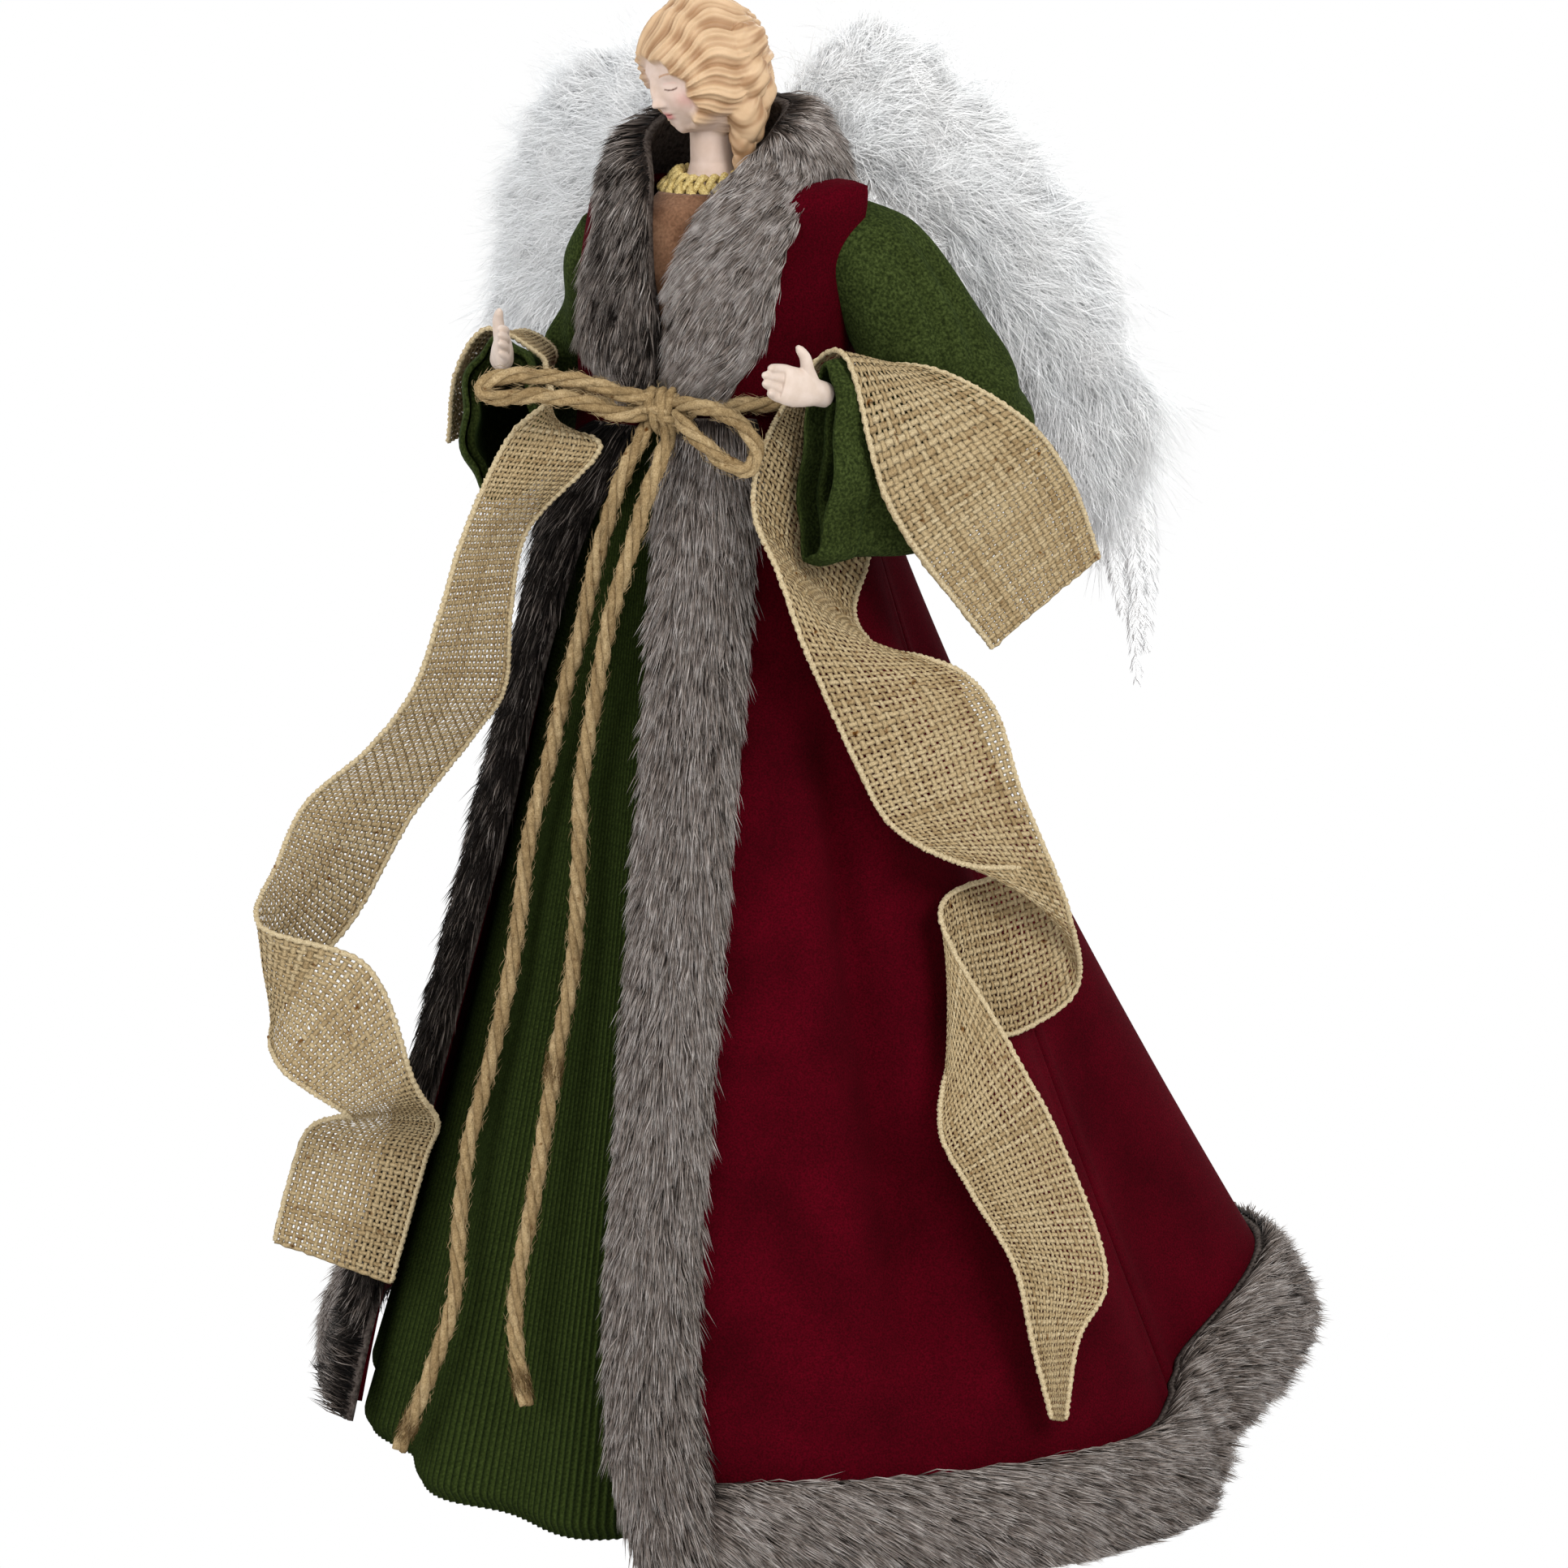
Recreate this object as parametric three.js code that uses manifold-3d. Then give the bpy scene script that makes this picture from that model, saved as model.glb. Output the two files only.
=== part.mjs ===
// Angel tree topper: a dressed figure on an open cone, with arms that lift and wings that fold.
// Millimetres, +Z up, the figure faces -Y, and its left hand is on the +X side.
import * as THREE from "three";
import { mergeVertices } from "three/addons/utils/BufferGeometryUtils.js";
import Module from "manifold-3d";

const wasm = await Module();
wasm.setup();

// Driving dimensions
const CLEARANCE = 0.35; // gap between pieces that touch
const CONE_BASE_RADIUS = 97;
const CONE_TOP_RADIUS = 20;
const CONE_HEIGHT = 300;
const CONE_WALL = 2.5;
const WAIST_RISE = 6; // the waist above the top of the cone
const WAIST_HEIGHT = CONE_HEIGHT + WAIST_RISE;
const WAIST_RADIUS = 38; // outside of the coat at the belt
const CHEST_HEIGHT = 52; // from the waist to the shoulder line
const SHOULDER_HEIGHT = WAIST_HEIGHT + CHEST_HEIGHT;
const SHOULDER_HALF_WIDTH = 43;
const SHOULDER_HALF_DEPTH = 24;
const NECK_OPENING_HALF_WIDTH = 22;
const NECK_OPENING_HALF_DEPTH = 17;
const NECK_OPENING_RISE = 6; // the coat's neck edge above the shoulder line
const CHEST_SWELL = 2;
const FELT = 2;
const KNIT = 1.6;
const FLEECE = 2.2;
const SUEDE = 1.5;
const DRESS_EASE = 9; // the dress's hem beyond the foot of the cone
const DRESS_HEM_RADIUS = CONE_BASE_RADIUS + DRESS_EASE;
const DRESS_HEM_HEIGHT = 1;
const DRESS_FLARE = 1.3; // power of the skirt's profile
const DRESS_FOLDS = 13;
const DRESS_FOLD_DEPTH = 3.2;
const FUR_DEPTH = 9;
const FUR_EDGE = 2.5; // pile left standing at the edge of a fur strip
const FUR_STRIP_WIDTH = 28;
const FUR_HEM_WIDTH = 31;
const CORD_DIAMETER = 5;
const KNOT_HALF_WIDTH = 8;
const KNOT_HALF_DEPTH = 5;
const KNOT_HALF_HEIGHT = 6;
const KNOT_ANGLE = 4; // degrees from the front towards the figure's left
const RIBBON_THICKNESS = 1.2;
const HEAD_HALF_WIDTH = 13.4;
const HEAD_HALF_DEPTH = 16.6;
const HEAD_HALF_HEIGHT = 17.6;
const HEAD_RISE = 36.5; // the head's centre above the shoulder line
const HEAD_CENTRE_HEIGHT = SHOULDER_HEIGHT + HEAD_RISE;
const HEAD_YAW = -38;
const HEAD_NOD = 18;
const HAIR_DEPTH = 2.8;
const NECK_RADIUS = 6.4;
const BUST_RADIUS = 20;
const ARM_WIRE_DIAMETER = 3;
const ARM_LIFT = 20; // degrees of outward travel
const CUFF_LENGTH = 6;
const HAND_LENGTH = 25;
const WING_ROOT_OFFSET = 10; // wing pivots on either side of the back seam
const WING_PIVOT_DEPTH = 40.5;
const WING_SWEEP = 25; // degrees back from the side at rest
const WING_FLUFF_FRONT = 14;
const WING_FLUFF_BACK = 1.5;
const QUILL_THICKNESS = 1.2;
const BACKING_THICKNESS = 1.5;
const WING_WIRE_DIAMETER = 3;
const SOCKET_RISE = 14; // the foot of the wing sockets above the waist
const SOCKET_LENGTH = 34;
const SOCKET_BOTTOM = WAIST_HEIGHT + SOCKET_RISE;
const SOCKET_TOP = SOCKET_BOTTOM + SOCKET_LENGTH;
const SOCKET_WALL = 2;

// The coat's hem: degrees round from the front, distance beyond the dress's hem, height above the floor
const COAT_HEM = [
  [5, 18, 0],
  [32, 20, 0],
  [57, 34, 0],
  [78, 50, 0],
  [94, 46, 8],
  [114, 70, 26],
  [137, 54, 16],
  [165, 44, 4],
  [200, 40, 2],
  [230, 36, 4],
  [262, 21, 6],
  [292, 7, 12],
  [320, 7, 8],
  [345, 13, 0],
];
const COAT_FLARE = 0.3; // how much hollower the skirt's profile is at the back than at the front
const RIGHT_CORNER = 298; // degrees of the right front corner, which hangs in closer
const RIGHT_CORNER_SPREAD = 32;
const RIGHT_CORNER_FLARE = 0.18;

// Degrees of the coat's edges against the level: 0 shoulder, 1 waist, 2 hem
const LEFT_EDGE = [
  [-0.25, 38],
  [0, 30],
  [0.5, 14],
  [1, 5],
  [2, 6],
];
const RIGHT_EDGE = [
  [-0.25, -34],
  [0, -26],
  [0.5, -14],
  [1, -8],
  [1.12, -40],
  [1.35, -52],
  [2, -58],
];
const SIDE_SEAM = 88;
const ARMHOLE_LEVEL = 0.75;
const ARMHOLE_FRONT = 26; // degrees by which the armhole cuts into the front panel at the shoulder
const ARMHOLE_BACK = 37;

// Degrees of the middle of each fur strip against the level
const LEFT_FUR = [
  [1.05, 20],
  [1.4, 17],
  [2, 13.5],
];
const RIGHT_FUR = [
  [1.12, -45],
  [1.2, -51],
  [1.35, -55],
  [1.5, -57],
  [2, -60],
];

// Materials
const coloured = (color, roughness, metalness = 0) =>
  new THREE.MeshStandardMaterial({ color, roughness, metalness });
const CARD = coloured(0xb59a72, 0.95);
const STUFFING = coloured(0xd9cdb8, 1);
const BISQUE = coloured(0xe3cdc0, 0.6);
const GOLD_BRAID = coloured(0xc3a964, 0.5);
const SUEDE_BROWN = coloured(0x78553c, 0.95);
const GREEN_KNIT = coloured(0x374f27, 1);
const GREEN_FLEECE = coloured(0x395a2d, 1);
const BURGUNDY_FELT = coloured(0x6e0019, 1);
const FUR = coloured(0x6b625c, 1);
const FEATHER = coloured(0xeceef0, 0.9);
const JUTE = coloured(0xbea06e, 0.95);
const BURLAP = coloured(0xcbb184, 0.95);
const WIRE = coloured(0x8c8c8c, 0.4, 1);

const mix = THREE.MathUtils.lerp;
const radians = THREE.MathUtils.degToRad;
const vec = (x, y, z) => new THREE.Vector3(x, y, z);
const TURN = 360;

// A point at a distance from the axis, an angle from the front towards the figure's left, and a height
function around(radius, degrees, height) {
  const angle = radians(degrees);
  return vec(radius * Math.sin(angle), -radius * Math.cos(angle), height);
}

// The tables below are drawn for these heights and this hem; they are carried along when a size changes
const DRAWN = { hang: 230, waist: 306, shoulder: 358, hemRadius: 106 };

// A drawn height, carried up with the waist and the shoulder
function raised(height) {
  const lift = WAIST_HEIGHT - DRAWN.waist;
  const stretch = SHOULDER_HEIGHT - DRAWN.shoulder - lift;
  const overWaist = THREE.MathUtils.clamp((height - DRAWN.waist) / (DRAWN.shoulder - DRAWN.waist), 0, 1);
  return height + lift * Math.min(1, height / DRAWN.hang) + stretch * overWaist;
}

// A drawn point of something that hangs, carried up with the waist and out with the hem
function settled([x, y, z]) {
  const push = (DRESS_HEM_RADIUS - DRAWN.hemRadius) * Math.max(0, 1 - z / DRAWN.hang);
  const share = 1 + push / Math.hypot(x, y);
  return [x * share, y * share, raised(z)];
}

// The smooth value at a place along a short list of knots, each [place, value, ...]
function along(knots, place, column = 1) {
  const last = knots.length - 1;
  if (place <= knots[0][0]) return knots[0][column];
  if (place >= knots[last][0]) return knots[last][column];
  const i = knots.findIndex((knot, n) => n < last && place <= knots[n + 1][0]);
  const span = knots[i + 1][0] - knots[i][0];
  const slope = (n) => {
    const low = knots[Math.max(n - 1, 0)];
    const high = knots[Math.min(n + 1, last)];
    return ((high[column] - low[column]) / (high[0] - low[0])) * span;
  };
  const t = (place - knots[i][0]) / span;
  const rise = t * t * (3 - 2 * t);
  const start = t * (1 - t) * (1 - t);
  const end = t * t * (t - 1);
  return mix(knots[i][column], knots[i + 1][column], rise) + start * slope(i) + end * slope(i + 1);
}

const HEM_ROUND = [-TURN, 0, TURN].flatMap((turn) =>
  COAT_HEM.map(([degrees, beyond, height]) => [degrees + turn, DRESS_HEM_RADIUS + beyond, height]),
);

// Half width, half depth and height of the coat above the waist
function coatChest(level) {
  if (level < 0) {
    const rise = level / -0.25;
    return {
      width: mix(SHOULDER_HALF_WIDTH, NECK_OPENING_HALF_WIDTH, rise),
      depth: mix(SHOULDER_HALF_DEPTH, NECK_OPENING_HALF_DEPTH, rise),
      height: SHOULDER_HEIGHT + NECK_OPENING_RISE * rise,
    };
  }
  const swell = Math.sin(Math.PI * level);
  return {
    width: mix(SHOULDER_HALF_WIDTH, WAIST_RADIUS, level) + CHEST_SWELL * swell,
    depth: mix(SHOULDER_HALF_DEPTH, WAIST_RADIUS, level) + CHEST_SWELL * swell,
    height: mix(SHOULDER_HEIGHT, WAIST_HEIGHT, level),
  };
}

// Distance from the axis, at an angle, of an oval given by its half width and half depth
function ovalRadius(degrees, width, depth) {
  const angle = radians(degrees);
  return 1 / Math.hypot(Math.sin(angle) / width, Math.cos(angle) / depth);
}

// A point of the coat's outer face
function coatPoint(degrees, level) {
  if (level <= 1) {
    const { width, depth, height } = coatChest(level);
    return around(ovalRadius(degrees, width, depth), degrees, height);
  }
  const angle = ((degrees % TURN) + TURN) % TURN;
  const hemRadius = along(HEM_ROUND, angle, 1);
  const hemHeight = Math.max(0, along(HEM_ROUND, angle, 2));
  const corner = Math.exp(-(((angle - RIGHT_CORNER) / RIGHT_CORNER_SPREAD) ** 2));
  const power = 1 + COAT_FLARE * Math.sin(radians(angle) / 2) ** 2 + RIGHT_CORNER_FLARE * corner;
  const radius = mix(WAIST_RADIUS, hemRadius, (level - 1) ** power);
  return around(radius, degrees, mix(WAIST_HEIGHT, hemHeight, level - 1));
}

const STEP = 0.01;

// The coat's outward normal
function coatNormal(degrees, level) {
  const lowered = Math.min(level, 2 - STEP);
  const here = coatPoint(degrees, lowered);
  const across = coatPoint(degrees + 1, lowered).sub(here);
  const down = coatPoint(degrees, lowered + STEP).sub(here);
  return down.cross(across).normalize();
}

// A point off the coat's outer face by a distance, never below the floor
function offCoat(degrees, level, distance) {
  const point = coatPoint(degrees, level).addScaledVector(coatNormal(degrees, level), distance);
  point.z = Math.max(point.z, 0);
  return point;
}

// Closed geometry from points and triangles, turned to face out
function closed(points, triangles) {
  const volume = triangles.reduce((sum, [a, b, c]) => {
    return sum + points[a].dot(points[b].clone().cross(points[c]));
  }, 0);
  const facing = volume < 0 ? triangles.map(([a, b, c]) => [a, c, b]) : triangles;
  const geometry = new THREE.BufferGeometry();
  geometry.setAttribute("position", new THREE.Float32BufferAttribute(points.flatMap((p) => [p.x, p.y, p.z]), 3));
  geometry.setIndex(facing.flat());
  return geometry;
}

// A closed sheet between two faces, each a function of u along the columns and v along the rows
function slab(columns, rows, face, back, ring = false) {
  const wide = ring ? columns : columns + 1;
  const points = [];
  for (const side of [face, back])
    for (let j = 0; j <= rows; j += 1)
      for (let i = 0; i < wide; i += 1) points.push(side(i / columns, j / rows));
  const at = (side, i, j) => side * wide * (rows + 1) + j * wide + (ring ? i % columns : i);
  const triangles = [];
  const quad = (a, b, c, d) => triangles.push([a, b, c], [a, c, d]);
  for (let i = 0; i < columns; i += 1) {
    for (let j = 0; j < rows; j += 1) {
      quad(at(0, i, j), at(0, i + 1, j), at(0, i + 1, j + 1), at(0, i, j + 1));
      quad(at(1, i, j), at(1, i, j + 1), at(1, i + 1, j + 1), at(1, i + 1, j));
    }
    quad(at(0, i, 0), at(1, i, 0), at(1, i + 1, 0), at(0, i + 1, 0));
    quad(at(0, i, rows), at(0, i + 1, rows), at(1, i + 1, rows), at(1, i, rows));
  }
  for (let j = 0; j < rows && !ring; j += 1) {
    quad(at(0, 0, j), at(0, 0, j + 1), at(1, 0, j + 1), at(1, 0, j));
    quad(at(0, columns, j), at(1, columns, j), at(1, columns, j + 1), at(0, columns, j + 1));
  }
  return closed(points, triangles);
}

// A closed solid through rings of points, with flat ends
function loft(rings) {
  const sides = rings[0].length;
  const points = rings.flat();
  const triangles = [];
  const at = (ring, i) => ring * sides + (i % sides);
  for (let k = 0; k + 1 < rings.length; k += 1)
    for (let i = 0; i < sides; i += 1) {
      triangles.push([at(k, i), at(k, i + 1), at(k + 1, i + 1)]);
      triangles.push([at(k, i), at(k + 1, i + 1), at(k + 1, i)]);
    }
  const last = rings.length - 1;
  for (const [ring, flip] of [
    [0, true],
    [last, false],
  ]) {
    const middle = points.length;
    points.push(rings[ring].reduce((sum, p) => sum.add(p), vec(0, 0, 0)).divideScalar(sides));
    for (let i = 0; i < sides; i += 1)
      triangles.push(flip ? [at(ring, i + 1), at(ring, i), middle] : [at(ring, i), at(ring, i + 1), middle]);
  }
  return closed(points, triangles);
}

const circle = (radius, sides) =>
  new THREE.Shape(
    Array.from({ length: sides }, (unused, i) => {
      const angle = (2 * Math.PI * i) / sides;
      return new THREE.Vector2(radius * Math.cos(angle), radius * Math.sin(angle));
    }),
  );

// A round tube along a smooth curve through points
function tube(points, diameter, steps, sides = 8) {
  const extrudePath = new THREE.CatmullRomCurve3(points.map(([x, y, z]) => vec(x, y, z)));
  return new THREE.ExtrudeGeometry(circle(diameter / 2, sides), { steps, extrudePath, bevelEnabled: false });
}

// A solid of revolution about the vertical axis, from a closed profile of [radius, height]
function turnedProfile(profile, segments) {
  const outline = profile.map(([radius, height]) => new THREE.Vector2(radius, height));
  const geometry = new THREE.LatheGeometry(outline, segments).rotateX(Math.PI / 2);
  return solidGeometry(solidOf(geometry));
}

// Joins and cuts
function solidOf(geometry, weld = 1e-4) {
  const loose = geometry.index ? geometry.toNonIndexed() : geometry;
  const bare = new THREE.BufferGeometry().setAttribute("position", loose.getAttribute("position"));
  const merged = mergeVertices(bare, weld);
  const corners = merged.getAttribute("position");
  const points = Array.from({ length: corners.count }, (unused, i) => vec().fromBufferAttribute(corners, i));
  const index = merged.index.array;
  const triangles = Array.from({ length: index.length / 3 }, (unused, i) => [...index.slice(3 * i, 3 * i + 3)]);
  const whole = triangles.filter(([a, b, c]) => a !== b && b !== c && a !== c);
  const facing = closed(points, whole);
  return new wasm.Manifold(
    new wasm.Mesh({
      numProp: 3,
      vertProperties: facing.getAttribute("position").array,
      triVerts: new Uint32Array(facing.index.array),
    }),
  );
}

function solidGeometry(solid) {
  const mesh = solid.getMesh();
  const geometry = new THREE.BufferGeometry();
  geometry.setAttribute("position", new THREE.BufferAttribute(mesh.vertProperties, mesh.numProp));
  geometry.setIndex(new THREE.BufferAttribute(mesh.triVerts, 1));
  return geometry;
}

const SLIVER = 0.004; // corners closer than this are welded after a cut

// What is left of a solid after its cutters, without loose crumbs
function cut(geometry, ...cutters) {
  const left = cutters.reduce((solid, cutter) => solid.subtract(solidOf(cutter)), solidOf(geometry));
  const bodies = left.decompose().sort((a, b) => b.volume() - a.volume());
  return solidGeometry(solidOf(solidGeometry(bodies[0]), SLIVER));
}

const join = (...pieces) =>
  solidGeometry(pieces.map(solidOf).reduce((whole, piece) => whole.add(piece)));

const figure = new THREE.Group();

function piece(name, geometry, material, parent = figure) {
  const mesh = new THREE.Mesh(geometry, material);
  mesh.name = name;
  parent.add(mesh);
  return mesh;
}

// The coat filled solid and grown by a gap: it trims what lies on the coat
const CORE_LEVELS = [-0.25, 0, 0.25, 0.5, 0.75, 1, 1.12, 1.3, 1.5, 1.7, 1.85, 2];
const CORE_SIDES = 48;
function coatCore(grow) {
  return loft(
    CORE_LEVELS.map((level) =>
      Array.from({ length: CORE_SIDES }, (unused, i) => {
        const degrees = (TURN * i) / CORE_SIDES;
        const point = coatPoint(degrees, level);
        const radius = Math.hypot(point.x, point.y) + grow;
        const lift = level < 0 ? grow : 0;
        return around(radius, degrees, point.z + lift);
      }),
    ),
  );
}
const core = coatCore(CLEARANCE * 2);

// Cone
const coneRadius = (height) => mix(CONE_BASE_RADIUS, CONE_TOP_RADIUS, height / CONE_HEIGHT);
piece(
  "body_cone",
  turnedProfile(
    [
      [CONE_BASE_RADIUS, 0],
      [CONE_TOP_RADIUS, CONE_HEIGHT],
      [CONE_TOP_RADIUS - CONE_WALL, CONE_HEIGHT],
      [CONE_BASE_RADIUS - CONE_WALL, 0],
      [CONE_BASE_RADIUS, 0],
    ],
    48,
  ),
  CARD,
);

// Stuffed torso, plugged into the cone
const DRESS_WAIST_RADIUS = WAIST_RADIUS - FELT - CLEARANCE;
const TORSO_WAIST_RADIUS = DRESS_WAIST_RADIUS - KNIT - CLEARANCE;
const TORSO_TOP = SHOULDER_HEIGHT - 4;
const BUST_BOTTOM = TORSO_TOP + CLEARANCE;
const PLUG_DEPTH = 22;
const plugRadius = (height) => coneRadius(height) - CONE_WALL - CLEARANCE;
const oval = (width, depth, height, sides = 24) =>
  Array.from({ length: sides }, (unused, i) => {
    const degrees = (TURN * i) / sides;
    return around(ovalRadius(degrees, width, depth), degrees, height);
  });
const plugRing = (height) => oval(plugRadius(height), plugRadius(height), height);
const TORSO_INSET = FELT + SUEDE + 3 * CLEARANCE;
const torsoRing = (level) => {
  const { width, depth, height } = coatChest(level);
  return oval(width - TORSO_INSET - 3 * (1 - level), depth - TORSO_INSET, height);
};
piece(
  "torso_form",
  loft([
    plugRing(CONE_HEIGHT - PLUG_DEPTH),
    plugRing(CONE_HEIGHT),
    oval(CONE_TOP_RADIUS, CONE_TOP_RADIUS, CONE_HEIGHT + CLEARANCE),
    oval(TORSO_WAIST_RADIUS, TORSO_WAIST_RADIUS, CONE_HEIGHT + 2),
    oval(TORSO_WAIST_RADIUS, TORSO_WAIST_RADIUS, WAIST_HEIGHT),
    torsoRing(0.75),
    torsoRing(0.4),
    torsoRing(0.15),
    oval(BUST_RADIUS + 3, BUST_RADIUS - 2, TORSO_TOP),
  ]),
  STUFFING,
);

// Suede bib over the torso's front
const BIB_HALF_ANGLE = 44;
const BIB_RISE = [
  // distance from the axis, height above the shoulder plate's foot, and the cloth's outward direction there
  [15.8, 5.65, 0.62, 0.78],
  [18.2, 3.65, 0.62, 0.78],
  [20.6, 1.85, 0.9, 0.43],
];
const BIB_ROWS = 9;
const bibPoint = (offset) => (u, v) => {
  const degrees = mix(-BIB_HALF_ANGLE, BIB_HALF_ANGLE, u);
  const row = Math.round(v * BIB_ROWS);
  if (row < BIB_RISE.length) {
    const [radius, rise, out, up] = BIB_RISE[row];
    return around(radius + offset * out, degrees, BUST_BOTTOM + rise + offset * up);
  }
  const level = mix(0.08, 0.86, (row - BIB_RISE.length) / (BIB_ROWS - BIB_RISE.length));
  const { width, depth, height } = coatChest(level);
  const inset = TORSO_INSET - CLEARANCE - offset;
  return around(ovalRadius(degrees, width - inset - 3 * (1 - level), depth - inset), degrees, height);
};
piece("bodice_front", slab(12, BIB_ROWS, bibPoint(SUEDE), bibPoint(0)), SUEDE_BROWN);

// Knit skirt with soft folds
function dressRadius(degrees, drop) {
  const flare = mix(DRESS_WAIST_RADIUS, DRESS_HEM_RADIUS, drop ** DRESS_FLARE);
  const fold = Math.cos(radians(DRESS_FOLDS * degrees)) + 0.5 * Math.cos(radians(5 * degrees + 70));
  return flare + DRESS_FOLD_DEPTH * drop * fold;
}
const DRESS_TOP = WAIST_HEIGHT - 1;
const HEM_ROLL = 3; // the turned-under hem is drawn in a little
const dressFace = (inset) => (u, v) => {
  const drop = v;
  const roll = v > 0.99 ? HEM_ROLL : 0;
  const radius = dressRadius(TURN * u, drop) - inset - roll;
  return around(radius, TURN * u, mix(DRESS_TOP, DRESS_HEM_HEIGHT, drop));
};
piece("dress_skirt", slab(52, 7, dressFace(0), dressFace(KNIT), true), GREEN_KNIT);

// Felt coat in three panels
const SHOULDER_TO_HEM = [-0.25, 0, 0.25, 0.5, 0.75, 1, 1.05, 1.12, 1.3, 1.6, 1.85, 2];
const FELT_HEM_LEVEL = 1.985;
const levelAt = (v) => {
  const place = v * (SHOULDER_TO_HEM.length - 1);
  const i = Math.min(Math.floor(place), SHOULDER_TO_HEM.length - 2);
  return Math.min(mix(SHOULDER_TO_HEM[i], SHOULDER_TO_HEM[i + 1], place - i), FELT_HEM_LEVEL);
};
const armhole = (level, reach) => reach * Math.max(0, 1 - Math.max(level, 0) / ARMHOLE_LEVEL);
const seamGap = (level) => {
  const point = coatPoint(SIDE_SEAM, level);
  return THREE.MathUtils.radToDeg(CLEARANCE / Math.hypot(point.x, point.y));
};
function coatPanel(columns, from, to) {
  const face = (offset) => (u, v) => {
    const level = levelAt(v);
    return offCoat(mix(from(level), to(level), u), level, offset);
  };
  return slab(columns, SHOULDER_TO_HEM.length - 1, face(0), face(-FELT));
}
piece(
  "coat_left_front",
  coatPanel(
    10,
    (level) => along(LEFT_EDGE, level),
    (level) => SIDE_SEAM - armhole(level, ARMHOLE_FRONT),
  ),
  BURGUNDY_FELT,
);
piece(
  "coat_back",
  coatPanel(
    28,
    (level) => SIDE_SEAM + seamGap(level) + armhole(level, ARMHOLE_BACK),
    (level) => TURN - SIDE_SEAM - seamGap(level) - armhole(level, ARMHOLE_BACK),
  ),
  BURGUNDY_FELT,
);
piece(
  "coat_right_front",
  coatPanel(
    6,
    (level) => armhole(level, ARMHOLE_FRONT) - SIDE_SEAM,
    (level) => along(RIGHT_EDGE, level),
  ),
  BURGUNDY_FELT,
);

// Fur strips, domed across, that lie on the coat
const pile = (across) => FUR_EDGE + (FUR_DEPTH - FUR_EDGE) * Math.sqrt(Math.max(0, 1 - across * across));
const FUR_SEAT = CLEARANCE + 0.75;
function furStrip(middle, rows) {
  const place = (height) => (u, v) => {
    const level = mix(middle[0][0], 2, v);
    const degrees = along(middle, level);
    const spine = coatPoint(degrees, level);
    const across = 2 * u - 1;
    const half = THREE.MathUtils.radToDeg(FUR_STRIP_WIDTH / 2 / Math.hypot(spine.x, spine.y));
    return offCoat(degrees + across * half, level, height(across));
  };
  return slab(6, rows, place((across) => FUR_SEAT + pile(across)), place(() => FUR_SEAT));
}
piece("fur_front_left", furStrip(LEFT_FUR, 12), FUR);
piece("fur_front_right", furStrip(RIGHT_FUR, 12), FUR);

// Fur round the hem, between the two front strips
const HEM_TOP_LEVEL = 1.89;
const stripEdge = (middle, side) => {
  const degrees = along(middle, HEM_TOP_LEVEL);
  const spine = coatPoint(degrees, HEM_TOP_LEVEL);
  const half = FUR_STRIP_WIDTH / 2 + 2 * CLEARANCE;
  return degrees + side * THREE.MathUtils.radToDeg(half / Math.hypot(spine.x, spine.y));
};
const HEM_FROM = stripEdge(LEFT_FUR, 1);
const HEM_TO = TURN + stripEdge(RIGHT_FUR, -1);
const hemFace = (height) => (u, v) => {
  const degrees = mix(HEM_FROM, HEM_TO, u);
  const length = coatPoint(degrees, 1).distanceTo(coatPoint(degrees, 2));
  return offCoat(degrees, 2 - (FUR_HEM_WIDTH / length) * (1 - v), height(2 * v - 1));
};
piece("fur_hem", slab(44, 4, hemFace((across) => FUR_SEAT + pile(across)), hemFace(() => FUR_SEAT)), FUR);

// Fur collar with lapels: inner and outer edge, each degrees, height and distance from the axis
const COLLAR = [
  [[6, 314, 37], [34, 314, 37]],
  [[11, 328, 34], [41, 326, 37]],
  [[22, 345, 29], [51, 340, 35]],
  [[42, 361, 22], [64, 353, 31]],
  [[86, 375, 20.5], [96, 361, 28]],
  [[136, 383, 22], [136, 361, 30]],
  [[180, 385, 21.5], [180, 361, 29]],
  [[224, 383, 20], [220, 360, 29]],
  [[274, 374, 18.5], [254, 359, 28]],
  [[320, 361, 21], [288, 351, 30]],
  [[340, 345, 27], [313, 339, 32]],
  [[348, 328, 33], [322, 326, 36]],
  [[357, 314, 37], [331, 314, 37]],
];
const COLLAR_SECTION = [
  [0, -1.5],
  [0, 3],
  [0.22, 7.5],
  [0.5, 9.5],
  [0.78, 7.5],
  [1, 3],
  [1, -1.5],
  [0.5, -2.5],
];
const COLLAR_STEPS = 26;
function furCollar(grow) {
  const edge = (side) => new THREE.CatmullRomCurve3(COLLAR.map((row) => around(row[side][2], row[side][0], raised(row[side][1]))));
  const [inner, outer] = [edge(0), edge(1)];
  const rings = [];
  for (let k = 0; k <= COLLAR_STEPS; k += 1) {
    const from = inner.getPoint(k / COLLAR_STEPS);
    const to = outer.getPoint(k / COLLAR_STEPS);
    const chord = to.clone().sub(from);
    const travel = inner.getTangent(k / COLLAR_STEPS).add(outer.getTangent(k / COLLAR_STEPS));
    const out = travel.cross(chord).normalize();
    const middle = from.clone().add(to).setZ(0);
    if (out.dot(middle) < 0) out.negate();
    const unit = chord.clone().normalize();
    rings.push(
      COLLAR_SECTION.map(([share, height]) =>
        from
          .clone()
          .addScaledVector(chord, share)
          .addScaledVector(unit, share > 0.5 ? grow : -grow * Math.sign(0.5 - share))
          .addScaledVector(out, height + Math.sign(height) * grow),
      ),
    );
  }
  return loft(rings);
}
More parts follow.
